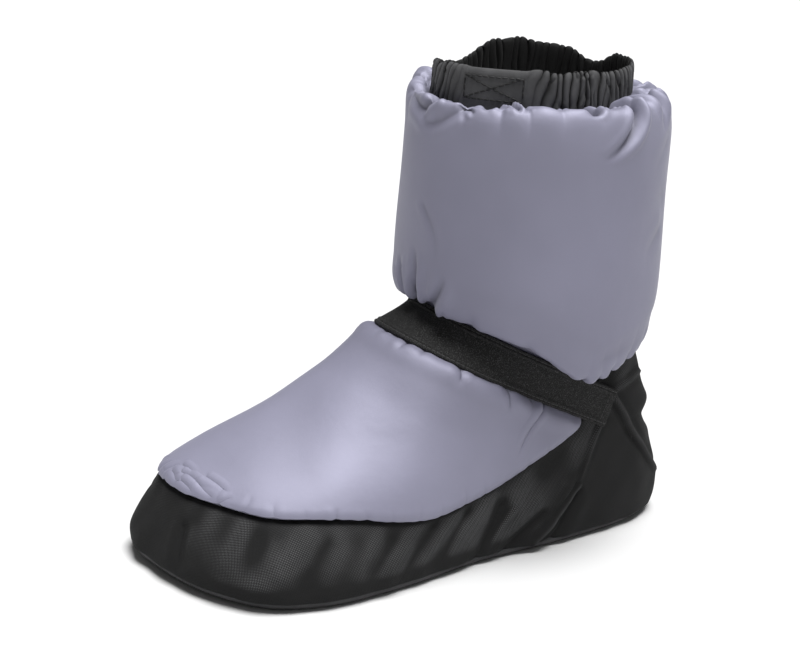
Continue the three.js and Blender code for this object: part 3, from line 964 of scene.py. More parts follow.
def sole_material(colour):
    """Grey-black rubber sole sheet with a pebbled tread."""
    material = bpy.data.materials.new("Pebbled sole")
    tree, shader = node_tree(material)
    place = object_place(tree)
    pebbles = tree.nodes.new("ShaderNodeTexVoronoi")
    pebbles.inputs["Scale"].default_value = 420.0
    tree.links.new(place, pebbles.inputs["Vector"])
    dust = noise_node(tree, place, 45.0, 4.0)
    stops = [(0.35, scaled(colour, 0.8)), (0.7, scaled(colour, 1.5))]
    tree.links.new(ramp_node(tree, dust, stops), shader.inputs["Base Color"])
    height = math_node(tree, "SUBTRACT", 1.0, pebbles.outputs["Distance"])
    tree.links.new(bump_node(tree, height, 0.5 * MM, 0.6), shader.inputs["Normal"])
    shader.inputs["Roughness"].default_value = 0.75
    return material


def thread_material(colour, name):
    """Sewing thread with a twist."""
    material = bpy.data.materials.new(name)
    tree, shader = node_tree(material)
    wave = tree.nodes.new("ShaderNodeTexWave")
    wave.inputs["Scale"].default_value = 900.0
    tree.links.new(object_place(tree), wave.inputs["Vector"])
    stops = [(0.2, scaled(colour, 0.6)), (0.8, scaled(colour, 1.4))]
    tree.links.new(ramp_node(tree, wave.outputs["Fac"], stops), shader.inputs["Base Color"])
    shader.inputs["Roughness"].default_value = 0.6
    return material


def crowded_ends(count, crowding):
    """Shares from 0 to 1 that lie closer together towards both ends."""
    share = np.linspace(0, 1, count)
    return share - crowding * np.sin(2 * math.pi * share) / (2 * math.pi)


def evenly(points, count, crowding=0.0):
    """Each column of a grid of points as count points at even distances, or crowded to its ends."""
    run = run_length(points)
    made = np.empty((count,) + points.shape[1:])
    for column in range(points.shape[1]):
        at = run[-1, column] * crowded_ends(count, crowding)
        for axis in range(3):
            made[:, column, axis] = np.interp(at, run[:, column], points[:, column, axis])
    return made


def collar_dip(turn):
    """How far the shaft's top dips round the collar at a turn in radians."""
    places = np.array([row[0] for row in COLLAR_DIP])
    dips = np.array([row[1] for row in COLLAR_DIP])
    degrees = np.degrees(turn) % 360
    degrees = np.where(degrees > places[-1], degrees - 360, degrees)
    places = np.append(places, places[0] + 360)
    dips = np.append(dips, dips[0])
    return np.interp(np.where(degrees < places[0], degrees + 360, degrees), places, dips) * MM


def shaft_rings(turn):
    """Rings of the shaft from under its hem, round hem and shoulder, to the collar seam."""
    half_long, half_wide = SHAFT_LENGTH / 2, SHAFT_WIDTH / 2
    cos, sin = np.cos(turn), np.sin(turn)
    rings = []
    for rise, front, back, side in HEM_RINGS:
        reach = np.where(cos >= 0, front, back) * half_long
        height = hem_height(turn) + rise * HEM_ROLL
        rings.append(np.stack([SHAFT_X + reach * cos, side * half_wide * sin, height], axis=1))
    dip = collar_dip(turn)
    for drop, spread in SHOULDER_RINGS:
        long_reach = CUFF_LENGTH / 2 + (half_long - CUFF_LENGTH / 2) * spread
        wide_reach = CUFF_WIDTH / 2 + (half_wide - CUFF_WIDTH / 2) * spread
        middle = SHAFT_X + (CUFF_X - SHAFT_X) * (1 - spread)
        height = SHAFT_HEIGHT - drop * SHOULDER_ROLL - dip * (1 - smooth(spread, 0.5, 0.97))
        rings.append(np.stack([middle + long_reach * cos, wide_reach * sin, height], axis=1))
    return np.array(rings)


def leg_rings(turn, rows):
    """Oval rings round the leg's axis. Columns of the rows: height; half length; half width."""
    cos, sin = np.cos(turn), np.sin(turn)
    rings = []
    for height, half_long, half_wide in rows:
        level = height + 0 * turn
        rings.append(np.stack([SHAFT_X + half_long * cos, half_wide * sin, level], axis=1))
    return np.array(rings)


def pillows(place, nodes, length):
    """0 at each node round a closed line and 1 half way between."""
    nodes = np.sort(np.array(nodes, float) % length)
    held = np.concatenate([nodes, nodes[:1] + length])
    at = (place - nodes[0]) % length + nodes[0]
    index = np.clip(np.searchsorted(held, at, "right") - 1, 0, len(nodes) - 1)
    share = (at - held[index]) / (held[index + 1] - held[index])
    return np.sin(share * math.pi) ** 0.8


def build_shaft():
    """Puffy satin shaft as one closed padded body, gathered at collar and hem."""
    rng = np.random.default_rng(7)
    columns, rows, steps = 460, 198, 12
    turn = np.linspace(0, 2 * math.pi, columns, endpoint=False)
    fine = refined(shaft_rings(turn), steps)
    edge = run_length(fine)[2 * steps] / MM
    outer = evenly(fine, rows, 0.55)
    run = run_length(outer) / MM
    under = run[-1] - run
    over = run - edge
    degrees = np.broadcast_to(np.degrees(turn), run.shape)
    around_run = degrees * MM_PER_DEGREE
    whole = 360 * MM_PER_DEGREE

    def in_run(table):
        return [(a * MM_PER_DEGREE, b, c * MM_PER_DEGREE, d, *rest) for a, b, c, d, *rest in table]

    # Front and outer side have their creases given one by one, so that the random ones are weaker there.
    top_places = np.arange(0, whole, 15.0)
    quiet = (top_places < 112 * MM_PER_DEGREE) | (top_places > 330 * MM_PER_DEGREE)
    small_top = puckers(rng, top_places[~quiet], 0, 1, 10, 0.9, 1.5)
    small_top += puckers(rng, top_places[quiet], 0, 1, 5, 0.5, 1.3)
    hem_places = np.arange(0, whole, 10.5)
    calm = (hem_places > 24 * MM_PER_DEGREE) & (hem_places < 128 * MM_PER_DEGREE)
    small_hem = puckers(rng, hem_places[~calm], -4, 1, 13, 0.9, 1.5)
    small_hem += puckers(rng, hem_places[calm], -4, 1, 6, 0.3, 1.5)
    ranges = ((2, 18), (-math.pi, math.pi), (5, 14), (-1.5, 1.5), (0.4, 1.1), (0.9, 1.4))
    strewn = crumples(rng, 90, whole, ranges)
    lift = creases(around_run, under, in_run(COLLAR_CREASES) + small_top + strewn, whole)
    lift += creases(around_run, over, in_run(HEM_CREASES) + small_hem, whole)
    # Painted shade in the creases: the deeper a crease, the darker its colour, in full at 2.6 mm.
    darkest, puff_height = 2.6 * MM, 2.6 * MM
    crease_shade = np.clip(-lift / darkest, 0, 1)
    puff = pillows(degrees, [row[0] for row in COLLAR_CREASES if row[1] == 0], 360)
    lift += puff_height * (puff - 0.5) * smooth(under, 1, 7) * (1 - smooth(under, 10, 34))
    hem_puff = pillows(degrees, [row[0] for row in HEM_CREASES if row[1] <= 0], 360)
    hem_puff = hem_puff * (1 - 0.6 * smooth(degrees, 22, 34) * (1 - smooth(degrees, 118, 132)))
    lift += 1.2 * MM * hem_puff * smooth(over, -10, 0) * (1 - smooth(over, 6, 26))
    # The satin is drawn in under the collar at the outer front, and at the hem in front.
    facing = smooth(degrees, 5, 30) * (1 - smooth(degrees, 95, 125))
    lift -= 3.0 * MM * facing * np.exp(-(((under - 12) / 6.5) ** 2))
    tucked = 1 - smooth(np.abs((degrees + 188) % 360 - 180), 14, 26)
    lift -= 2.4 * MM * tucked * np.exp(-(((over - 4) / 9) ** 2))
    lift += billow(rng, around_run, over, whole, 90, 1.2) * smooth(over, 0, 30) * smooth(under, 0, 30)
    lift *= smooth(run, 0, 12) * smooth(under, 0, 1.5)
    outer += grid_normals(outer) * lift[..., None]
    hem_low = INSTEP_HEIGHT * 0.8
    inside = (
        (SHAFT_HEIGHT - 23 * MM, 51 * MM, 45 * MM),
        (SHAFT_HEIGHT - 36 * MM, 57 * MM, 55 * MM),
        (hem_low + 42 * MM, 57 * MM, 55 * MM),
        (hem_low + 14 * MM, 44 * MM, 33.5 * MM),
    )
    inside_rows = 12
    points = np.concatenate([outer, evenly(leg_rings(turn, inside), inside_rows)])
    whole_run = run_length(points)
    round_run = np.broadcast_to(around_run[0] * MM, whole_run.shape)
    shaft = cloth_mesh("shaft", points, round_run, whole_run, closed_rows=True)
    # Painted shade: crease shade on the outer skin and full shade over the whole inside.
    mark_folds(shaft, "Fold", np.concatenate([crease_shade, np.ones((inside_rows, columns))]))
    return shaft


def strap_distance(x, z):
    """Millimetres below the strap's lower edge, seen from the side."""
    right, up = x - STRAP_CORNER[0], z - STRAP_CORNER[1]
    return (right * math.sin(STRAP_SLOPE) - up * math.cos(STRAP_SLOPE)) / MM


def strap_place(x, y, ridge):
    """Millimetres along the strap from the top of the instep, + to the outer side."""
    top_x = strap_line(0.0, 200)[:, 0].max()
    back = np.maximum(top_x - x, 0) / math.cos(STRAP_SLOPE)
    return np.sign(y - ridge) * np.hypot(y - ridge, back) / MM


def strap_line(share, count):
    """Line over the foot part at a share of the strap's width, from its outer to its inner end."""
    upward = share * STRAP_WIDTH
    beyond_top = 160 * MM
    sin, cos = math.sin(STRAP_SLOPE), math.cos(STRAP_SLOPE)

    def side_view(forward):
        x = STRAP_CORNER[0] + forward * cos - upward * sin
        return x, STRAP_CORNER[1] + forward * sin + upward * cos

    q = np.linspace(0, 1, 4000)
    forward = beyond_top * q
    x, z = side_view(forward)
    _, _, _, top, _, belly = foot_sizes(x)
    high = (z - belly) / (top - belly)
    end = np.argmax(high >= 1)
    crossing = np.interp(1.0, high[end - 1 : end + 1], forward[end - 1 : end + 1])
    x, z = side_view(crossing * (1 - (1 - q) ** 3))
    outer, inner, ridge, top, square, belly = foot_sizes(x)
    across = (1 - np.clip((z - belly) / (top - belly), 0, 1) ** square) ** (1 / square)
    outer_half = np.stack([x, ridge + outer * across, z], axis=1)
    inner_half = np.stack([x, ridge - inner * across, z], axis=1)[::-1]
    return respaced(np.concatenate([outer_half, inner_half[1:]]), count)


def vamp_grid(rows, columns):
    """Points of the vamp's skin from the toe seam backwards, from the outer to the inner seam, with
    the run from the ridge across, in millimetres."""
    back = (0.2 - 0.5) * FOOT_LENGTH
    x = np.linspace(0.42, 0.5, 2000) * FOOT_LENGTH
    _, _, _, top, _, _ = foot_sizes(x)
    tip = x[np.argmax(top <= rand_rise(x))]
    x = tip - (tip - back) * np.linspace(0, 1, rows) ** 1.4
    outer, inner, ridge, top, square, belly = foot_sizes(x)
    share = np.clip((rand_rise(x) - belly) / (top - belly), 0, 1)
    low = np.arcsin(np.minimum(share ** (square / 2), 1))
    points = np.empty((rows, columns, 3))
    across = np.empty((rows, columns))
    share = np.linspace(0, 1, 300)
    for i in range(rows):
        quarter = (math.pi / 2 - low[i]) * share
        angle = np.concatenate([low[i] + quarter, math.pi / 2 + quarter[1:]])
        cos, sin = np.cos(angle), np.clip(np.sin(angle), 0, 1)
        side = np.where(cos >= 0, outer[i], inner[i])
        y = ridge[i] + np.sign(cos) * side * np.abs(cos) ** (2 / square[i])
        z = belly[i] + (top[i] - belly[i]) * sin ** (2 / square[i])
        line = np.stack([np.full_like(y, x[i]), y, z], axis=1)
        run = run_length(line)
        at = np.linspace(0, run[-1], columns)
        for axis in range(3):
            points[i, :, axis] = np.interp(at, run, line[:, axis])
        across[i] = (run[len(share) - 1] - at) / MM
    return points, across


def toe_set_back(points):
    """The toe's top edge as it is worn: drawn back and down a little, over vamp and rand alike."""
    x, z = points[..., 0] / MM, points[..., 2] / MM
    moved = smooth(z, 8, 38)
    points[..., 0] -= 3.6 * MM * moved * smooth(x, 98, 140)
    points[..., 2] -= 3.6 * MM * moved * smooth(x, 70, 140)
    return points


def seam_field(points):
    """Distance of each point of a grid from its seam, and the place along the seam, in millimetres."""
    seam = respaced(np.concatenate([points[::-1, 0], points[1:, -1]]), 900)
    run = run_length(seam) / MM
    way = seam[1:] - seam[:-1]
    flat = points.reshape(-1, 3)
    distance = np.empty(len(flat))
    place = np.empty(len(flat))
    block = 4000
    for start in range(0, len(flat), block):
        part = flat[start : start + block]
        nearest = ((part[:, None] - seam[None]) ** 2).sum(axis=2).argmin(axis=1)
        best = np.full(len(part), np.inf)
        for side in (-1, 0):
            segment = np.clip(nearest + side, 0, len(way) - 1)
            step = way[segment]
            share = np.clip(((part - seam[segment]) * step).sum(axis=1) / (step**2).sum(axis=1), 0, 1)
            gap = np.linalg.norm(part - seam[segment] - step * share[:, None], axis=1)
            at = run[segment] + share * (run[segment + 1] - run[segment])
            place[start : start + block] = np.where(gap < best, at, place[start : start + block])
            best = np.minimum(best, gap)
        distance[start : start + block] = best / MM
    shape = points.shape[:2]
    return distance.reshape(shape), place.reshape(shape), run


def build_vamp():
    """Padded satin vamp and quarters, from the toe seam to under the shaft."""
    rng = np.random.default_rng(11)
    points, across = vamp_grid(300, 170)
    x, y, z = points[..., 0], points[..., 1], points[..., 2]
    ridge = foot_sizes(x)[2]
    from_seam, place, seam_run = seam_field(points)
    below = strap_distance(x, z)
    along = strap_place(x, y, ridge)
    lift = creases(x / MM, across, VAMP_CREASES)
    toe = seam_run[-1] / 2
    small_seam = puckers(rng, np.arange(6, seam_run[-1] - 6, 14.0), 0, 1, 6, 0.35, 1.6)
    lift += creases(place, from_seam, small_seam)
    lift += creases(place - toe, from_seam, TOE_CREASES)
    lift += creases(along, below, STRAP_CREASES)
    lift *= smooth(from_seam, -0.5, 2.0)
    deepest = 2.0 * MM
    lift = np.maximum(lift, -deepest)
    # Painted shade in the creases, in full at 2 mm deep.
    crease_shade = np.clip(-lift / deepest, 0, 1)
    front = smooth(below, 0, 30)
    puff = 0.7 * smooth(from_seam, 0, 14) * (1 - front) - 2.4 * front * smooth(from_seam, 6, 40)
    edge = -0.9 * np.exp(-((from_seam / 1.6) ** 2))
    groove = -3.2 * smooth(below, -26, -20) * (1 - smooth(below, 0.0, 4.0))
    roll = 0.7 * np.exp(-(((below - 6) / 4.0) ** 2))
    lift += (puff + edge + groove + roll * smooth(from_seam, 0, 8)) * MM
    lift += billow(rng, x / MM, across, 300, 60, 0.6) * smooth(from_seam, 2, 20)
    points = toe_set_back(points + upward_normals(points) * lift[..., None])
    vamp = cloth_mesh("vamp", points, np.broadcast_to(x[:, :1], x.shape), across * MM, closed_round=False)
    mark_folds(vamp, "Fold", crease_shade)
    # What the shaft covers is left open, from 7 mm over the strap's lower edge upwards.
    hidden_length, hidden_width = 0.72 * SHAFT_LENGTH / 2, 0.6 * SHAFT_WIDTH / 2
    hidden = ((x - SHAFT_X) / hidden_length) ** 2 + (y / hidden_width) ** 2 < 1
    hidden &= (z > 0.6 * INSTEP_HEIGHT) & (below < -7)
    drop_vertices(vamp, hidden.ravel())
    wall = vamp.modifiers.new("Wall", "SOLIDIFY")
    wall.thickness = 3.0 * MM
    wall.offset = -1.0
    apply_modifiers(vamp)
    return vamp


def drop_vertices(piece, gone):
    """Deletes the vertices of a mesh that a mask names."""
    only(piece)
    for parts in (piece.data.polygons, piece.data.edges):
        parts.foreach_set("select", np.zeros(len(parts), bool))
    piece.data.vertices.foreach_set("select", gone)
    bpy.ops.object.mode_set(mode="EDIT")
    bpy.ops.mesh.delete(type="VERT")
    bpy.ops.object.mode_set(mode="OBJECT")


def build_rand():
    """Woven rand from the sole's edge to the seam, which rises into the heel counter."""
    rng = np.random.default_rng(5)
    columns, rows = 800, 72
    line = foot_plan(columns)
    inward = plan_inward(line)
    low = spring(line[:, 0]) + SOLE_THICKNESS - 0.4 * MM
    high = rand_rise(line[:, 0])
    for _ in range(12):
        reach = drawn_in(line, inward, high)
        high = (high + rand_rise((line + inward * reach[:, None])[:, 0])) / 2
    share = np.linspace(0, 1, rows)[:, None]
    z = low + (high - low) * share
    reach = drawn_in(line, inward, z)
    outer = line + inward * reach[..., None]
    outer[..., 2] = z
    outer = evenly(outer, rows)
    round_step = np.arange(columns) * np.linalg.norm(line[1] - line[0]) / MM
    whole = round_step[-1] + round_step[1]
    # The foot part has a keel at the heel, which the counter rounds off.
    rounded = np.stack([around(row, 45) for row in outer])
    at_heel = 1 - smooth(np.abs(round_step - whole / 2), 14, 42)
    outer += (rounded - outer) * (at_heel * smooth(outer[..., 2] / MM, 25, 50))[..., None]
    run = run_length(outer) / MM
    from_top = run[-1] - run
    around_run = np.broadcast_to(round_step, run.shape)
    height = outer[..., 2] / MM
    lift = creases(around_run, height, RAND_FOLDS, whole)
    crests = creases(around_run, height, [row for row in RAND_FOLDS if row[5] < 0], whole)
    lift += billow(rng, around_run, height, whole, 55, 0.7) * smooth(run, 0, 8) * smooth(from_top, 0, 10)
    lift += billow(rng, around_run, height, whole, 22, 0.3) * smooth(from_top, 0, 6)
    share = run / run[-1]
    from_toe = np.minimum(around_run, whole - around_run)
    toe_hollow = 1.7 * np.sin(share * math.pi) * (1 - smooth(from_toe, 24, 52))
    heel = 1 - smooth(np.abs(around_run - whole / 2), 20, 75)
    bulges = 1.6 * np.exp(-(((height - 26) / 15) ** 2)) + 1.5 * np.exp(-(((height - 68) / 9) ** 2))
    waist = 0.9 * np.exp(-(((height - 54) / 6) ** 2))
    edge = 1.1 * np.exp(-((from_top / 1.8) ** 2))
    lift += MM * (0.3 * np.sin(share * math.pi) - toe_hollow + heel * (bulges - waist) - edge)
    normals = grid_normals(outer)
    outer = toe_set_back(outer + normals * lift[..., None])
    wall = 1.6
    back_down = slice(None, None, -6)
    inner = (outer - normals * wall * MM)[back_down]
    points = np.concatenate([outer, inner])
    v = np.concatenate([run, run[back_down]]) * MM
    u = np.broadcast_to(around_run[0] * MM, v.shape)
    rand = cloth_mesh("rand_shell", points, u, v, closed_rows=True)
    # Strength of the weave's painted glints: none on the smooth counter, faded at the edges and towards
    # the toe.
    counter = 230 + 0.82 * height
    inner_counter = whole - counter
    past_outer = smooth(around_run, counter - 14, counter + 6)
    past_inner = smooth(around_run, inner_counter - 6, inner_counter + 14)
    weave_glint = 1 - past_outer * (1 - past_inner)
    weave_glint *= smooth(run, 3, 10) * smooth(from_top, 1.0, 4.0) * (0.25 + 0.75 * smooth(from_toe, 20, 38))
    # Painted light and shade: the glints are brighter where the cloth is lifted and dimmer in fold
    # troughs.
    weave_glint *= np.clip(0.55 + lift / (1.8 * MM), 0.15, 0.85)
    mark_folds(rand, "Woven", np.concatenate([weave_glint, weave_glint[back_down]]))
    # Painted highlight along the raised crests.
    crest_highlight = np.clip(crests / (1.3 * MM), 0, 1) ** 2
    mark_folds(rand, "Rubbed", np.concatenate([crest_highlight, crest_highlight[back_down]]))
    return rand


def cuff_surface(degrees, rise, out):
    """Point of the collar before its gathers: turn in degrees, share of its height, and millimetres
    outwards from its outer face."""
    low = SHAFT_HEIGHT - CUFF_DEPTH
    rim = SHAFT_HEIGHT + CUFF_RISE * np.interp(degrees % 360, RIM[:, 0], RIM[:, 1])
    turn = np.radians(degrees)
    x = CUFF_X + (CUFF_LENGTH / 2 + out * MM) * np.cos(turn)
    y = (CUFF_WIDTH / 2 + out * MM) * np.sin(turn)
    return np.stack([x, y, low + (rim - low) * rise], axis=-1)


def build_cuff(pleat_depth):
    """Ruched collar band, turned over at its rim, with a flat patch at the front."""
    rng = np.random.default_rng(3)
    columns = 1500
    degrees = np.linspace(0, 360, columns, endpoint=False)
    girth = math.pi / 2 * (CUFF_LENGTH + CUFF_WIDTH) / MM
    around_run = degrees / 360 * girth
    ruched = np.interp(degrees, RIM[:, 0], RIM[:, 2])
    shape = refined(COLLAR_SECTION, 5)[:-3]  # the last rows would come too near the first
    rise = shape[:, 0][:, None]
    out = shape[:, 1][:, None]
    # Pleats of random width round the collar, each with its own depth, skew and bend.
    pleats = np.cumsum(rng.uniform(2.2, 5.6, 400))
    pleats = pleats[pleats < girth - 2.0]
    pleats *= (girth - 3.0) / pleats[-1]
    deep = rng.uniform(0.35, 1.0, len(pleats))
    skew = rng.uniform(0.6, 1.7, len(pleats))
    bend = rng.uniform(-1.2, 1.2, len(pleats))
    lean = np.interp(degrees, *np.array(PLEAT_LEAN).T)
    wander = 0.5 * np.sin(rise * 7.0 + degrees / 360 * 40 * math.pi)
    place = (around_run - lean * (rise - 0.5) + wander) % girth
    index = np.searchsorted(pleats, place.ravel(), "right").reshape(place.shape)
    before = np.where(index > 0, pleats[index - 1], pleats[-1] - girth)
    after = np.where(index < len(pleats), pleats[np.minimum(index, len(pleats) - 1)], pleats[0] + girth)
    share = np.clip((place - before) / (after - before), 0, 1)
    kind = index % len(pleats)
    share **= skew[kind]
    fold = np.sin(share * math.pi) ** 0.4
    depth = deep[kind] * (1 + 0.3 * bend[kind] * (rise - 0.5))
    full = smooth(rise, -0.15, 0.35) * ruched
    valley = (pleat_depth / MM * depth * (fold - 0.85) - 0.4) * full
    flat = smooth(degrees, 16, 23) * (1 - smooth(degrees, 55, 61))
    ranges = ((2, 24), (-1.1, 1.1), (4, 10), (-1, 1), (0.25, 0.65), (0.5, 0.9))
    strewn = crumples(rng, 150, girth, ranges, both_ways=True)
    beside = np.broadcast_to(around_run, place.shape)
    upward = rise * (CUFF_DEPTH + CUFF_RISE) / MM
    crumple = creases(beside, upward, strewn, girth) / MM * full * (out > -1.5)
    valley += crumple
    turns = np.broadcast_to(degrees, place.shape)
    points = cuff_surface(turns, rise, out)
    away = points - cuff_surface(turns, rise, COLLAR_MIDDLE)
    size = np.linalg.norm(away, axis=-1, keepdims=True)
    away = np.where(size > 0.3 * MM, away / np.maximum(size, 1e-9), 0)
    points = points + away * (valley * MM)[..., None]
    ragged = billow(rng, around_run, 0 * degrees, girth, 16, 0.8)
    lifted = smooth(rise, 0.45, 1.0) * ((fold - 0.6) * ruched * 1.9 * depth * MM + ragged * ruched)
    points[..., 2] += lifted - 0.8 * MM * flat * (rise > 0.5)
    run = run_length(points)
    u = np.broadcast_to(around_run * MM, run.shape)
    cuff = cloth_mesh("collar", points, u, run, closed_rows=True)
    # Painted shade: darker in pleat valleys and crumple troughs, and over the whole inner face.
    inner_face = smooth(-out, 1.2, 3.2)
    painted_shade = (1 - fold) ** 1.1 * 2.6 * full * (0.4 + 0.6 * deep[kind]) + np.clip(-crumple, 0, 0.8)
    painted_shade = np.clip(painted_shade + inner_face, 0, 1)
    mark_folds(cuff, "Fold", painted_shade)
    return cuff


def thread_line(points, pitch, length, radius):
    """Corners and quads of separate stitches along a line on a surface."""
    run = run_length(points)
    starts = np.arange(0, run[-1] - length, pitch)
    sides, rings = 6, ((0.0, 0.35), (0.15, 0.9), (0.5, 1.0), (0.85, 0.9), (1.0, 0.35))
    corners, faces = [], []
    for start in starts:
        base = len(corners)
        for share, swell in rings:
            at = start + length * share
            centre = np.array([np.interp(at, run, points[:, k]) for k in range(3)])
            ahead = np.array([np.interp(at + 0.1 * MM, run, points[:, k]) for k in range(3)])
            along = (ahead - centre) / max(np.linalg.norm(ahead - centre), 1e-9)
            side = np.cross(along, (0, 0, 1) if abs(along[2]) < 0.9 else (1, 0, 0))
            side /= np.linalg.norm(side)
            up = np.cross(side, along)
            for k in range(sides):
                angle = 2 * math.pi * k / sides
                corners.append(centre + radius * swell * (side * math.cos(angle) + up * math.sin(angle)))
        for ring in range(len(rings) - 1):
            for k in range(sides):
                a, b = base + ring * sides + k, base + ring * sides + (k + 1) % sides
                faces.append((a, b, b + sides, a + sides))
        faces.append(tuple(base + k for k in reversed(range(sides))))
        last = base + (len(rings) - 1) * sides
        faces.append(tuple(last + k for k in range(sides)))
    return corners, faces


def stitches(name, lines, pitch, length, radius):
    """All the stitches along several lines as one mesh."""
    corners, faces = [], []
    for line in lines:
        more, quads = thread_line(line, pitch, length, radius)
        faces += [tuple(k + len(corners) for k in face) for face in quads]
        corners += more
    mesh = bpy.data.meshes.new(name)
    mesh.from_pydata([tuple(c) for c in corners], [], faces)
    mesh.polygons.foreach_set("use_smooth", np.ones(len(faces), bool))
    piece = bpy.data.objects.new(name, mesh)
    bpy.context.scene.collection.objects.link(piece)
    face_out(piece)
    return piece


def build_patch_stitches(length):
    """Box with a cross, sewn through the collar's flat patch."""
    left, right, low, high = PATCH
    corners = np.array([(left, low), (left, high), (right, high), (right, low)])
    sides_and_cross = ((0, 1), (1, 2), (2, 3), (3, 0), (0, 2), (1, 3))
    above_cloth, gap, radius = 0.25, 0.4 * MM, 0.4 * MM
    share = np.linspace(0, 1, 60)
    lines = []
    for a, b in sides_and_cross:
        degrees, rise = (corners[a] + (corners[b] - corners[a]) * share[:, None]).T
        lines.append(cuff_surface(degrees, rise, above_cloth))
    return stitches("collar_stitches", lines, length + gap, length, radius)


def build_strap():
    """Elastic webbing over the instep, with ribs along its edges and both ends cut square."""
    columns, steps = 420, 60
    lines = np.array([strap_line(share, columns) for share in np.linspace(0, 1, steps + 1)])
    normals = upward_normals(lines)
    ribs = ((0.04, 0.5), (0.13, 0.45), (0.87, 0.45), (0.96, 0.5))
    section = []
    for share in np.linspace(0.0, 1.0, 49):
        edge = min(share, 1 - share) * STRAP_WIDTH / MM
        thick = 2.3 - 0.7 * (1 - min(edge / 0.9, 1)) ** 2
        for place, tall in ribs:
            thick += tall * math.exp(-(((share - place) / 0.028) ** 2))
        section.append((share, thick))
    section += [(1.0, 1.2), (0.98, 0.35), (0.5, 0.3), (0.02, 0.35), (0.0, 1.2)]
    points = []
    for share, thick in section:
        place = share * steps
        i = min(int(place), steps - 1)
        base = lines[i] + (lines[i + 1] - lines[i]) * (place - i)
        normal = normals[i] + (normals[i + 1] - normals[i]) * (place - i)
        points.append(base + normal * thick * MM)
    points = np.array(points).transpose(1, 0, 2)[::-1]
    run = run_length(points)
    width = np.broadcast_to([share * STRAP_WIDTH for share, _ in section], run.shape)
    strap = cloth_mesh("strap", points, width, run, closed_round=True)
    close_ends(strap)
    return strap


def build_strap_stitches():
    """Rows of stitching along the strap's edges and across its ends."""
    lines = []
    for share in (0.085, 0.915):
        beside = np.array([strap_line(share, 500), strap_line(share + 0.01, 500)])
        lines.append(beside[0] + upward_normals(beside)[0] * STRAP_FACE)
    grid = np.array([strap_line(share, 500) for share in np.linspace(0.08, 0.92, 25)])
    normals = upward_normals(grid)
    for column in (9, 490):
        lines.append(grid[:, column] + normals[:, column] * STRAP_FACE)
    pitch, length, radius = 2.6 * MM, 2.1 * MM, 0.22 * MM
    return stitches("strap_stitches", lines, pitch, length, radius)


def close_ends(piece):
    """Fills the open ends of a tube."""
    only(piece)
    bpy.ops.object.mode_set(mode="EDIT")
    bpy.ops.mesh.select_all(action="SELECT")
    bpy.ops.mesh.region_to_loop()
    bpy.ops.mesh.edge_face_add()
    bpy.ops.mesh.select_all(action="SELECT")
    bpy.ops.mesh.normals_make_consistent(inside=False)
    bpy.ops.object.mode_set(mode="OBJECT")


def plate(name, levels):
    """A flat piece with the foot's outline, extruded through levels of (inset, height)."""
    count = 240
    select_none()
    bpy.ops.mesh.primitive_circle_add(vertices=count, radius=BALL_WIDTH / 2, fill_type="NGON")
    piece = only(bpy.context.object)
    piece.name = name
    for number, (inset, height) in enumerate(levels):
        if number:
            bpy.ops.object.mode_set(mode="EDIT")
            bpy.ops.mesh.extrude_region_move()
            bpy.ops.object.mode_set(mode="OBJECT")
        line = foot_plan(count, inset)
        ring = [v for v in piece.data.vertices if v.select]
        for vertex, place in zip(ring, line):
            vertex.co = (place[0], place[1], height + float(spring(place[0])))
    face_out(piece)
    # Cuts across, so that its large faces follow the toe spring.
    for x in np.arange(-0.42, 0.48, 0.06) * FOOT_LENGTH:
        bpy.ops.object.mode_set(mode="EDIT")
        bpy.ops.mesh.select_all(action="SELECT")
        bpy.ops.mesh.bisect(plane_co=(x, 0, 0), plane_no=(1, 0, 0))
        bpy.ops.object.mode_set(mode="OBJECT")
    only(piece)
    bpy.ops.object.shade_smooth_by_angle(angle=math.radians(40))
    return piece


def build_sole():
    """Thin flat sole with a rounded side and a sewn border underneath."""
    levels = [
        (TUCK + 7 * MM, 0.4 * MM),
        (TUCK + 6 * MM, 0.0),
        (TUCK + 1.2 * MM, 0.0),
        (TUCK - 0.2 * MM, 0.5 * MM),
        (TUCK - 1.4 * MM, 1.6 * MM),
        (TUCK - 2.3 * MM, 3.0 * MM),
        (TUCK - 2.7 * MM, 4.2 * MM),
        (TUCK - 2.2 * MM, SOLE_THICKNESS),
    ]
    return plate("sole_sheet", levels)


def build_insole():
    """Lined foam insole with a soft edge."""
    low = SOLE_THICKNESS + 0.3 * MM
    top = low + INSOLE_THICKNESS
    levels = [
        (9.6 * MM, low),
        (8.9 * MM, low + 0.8 * MM),
        (8.9 * MM, top - 1.4 * MM),
        (9.6 * MM, top - 0.4 * MM),
        (11.4 * MM, top),
        (22 * MM, top - 0.3 * MM),
    ]
    return plate("insole_pad", levels)


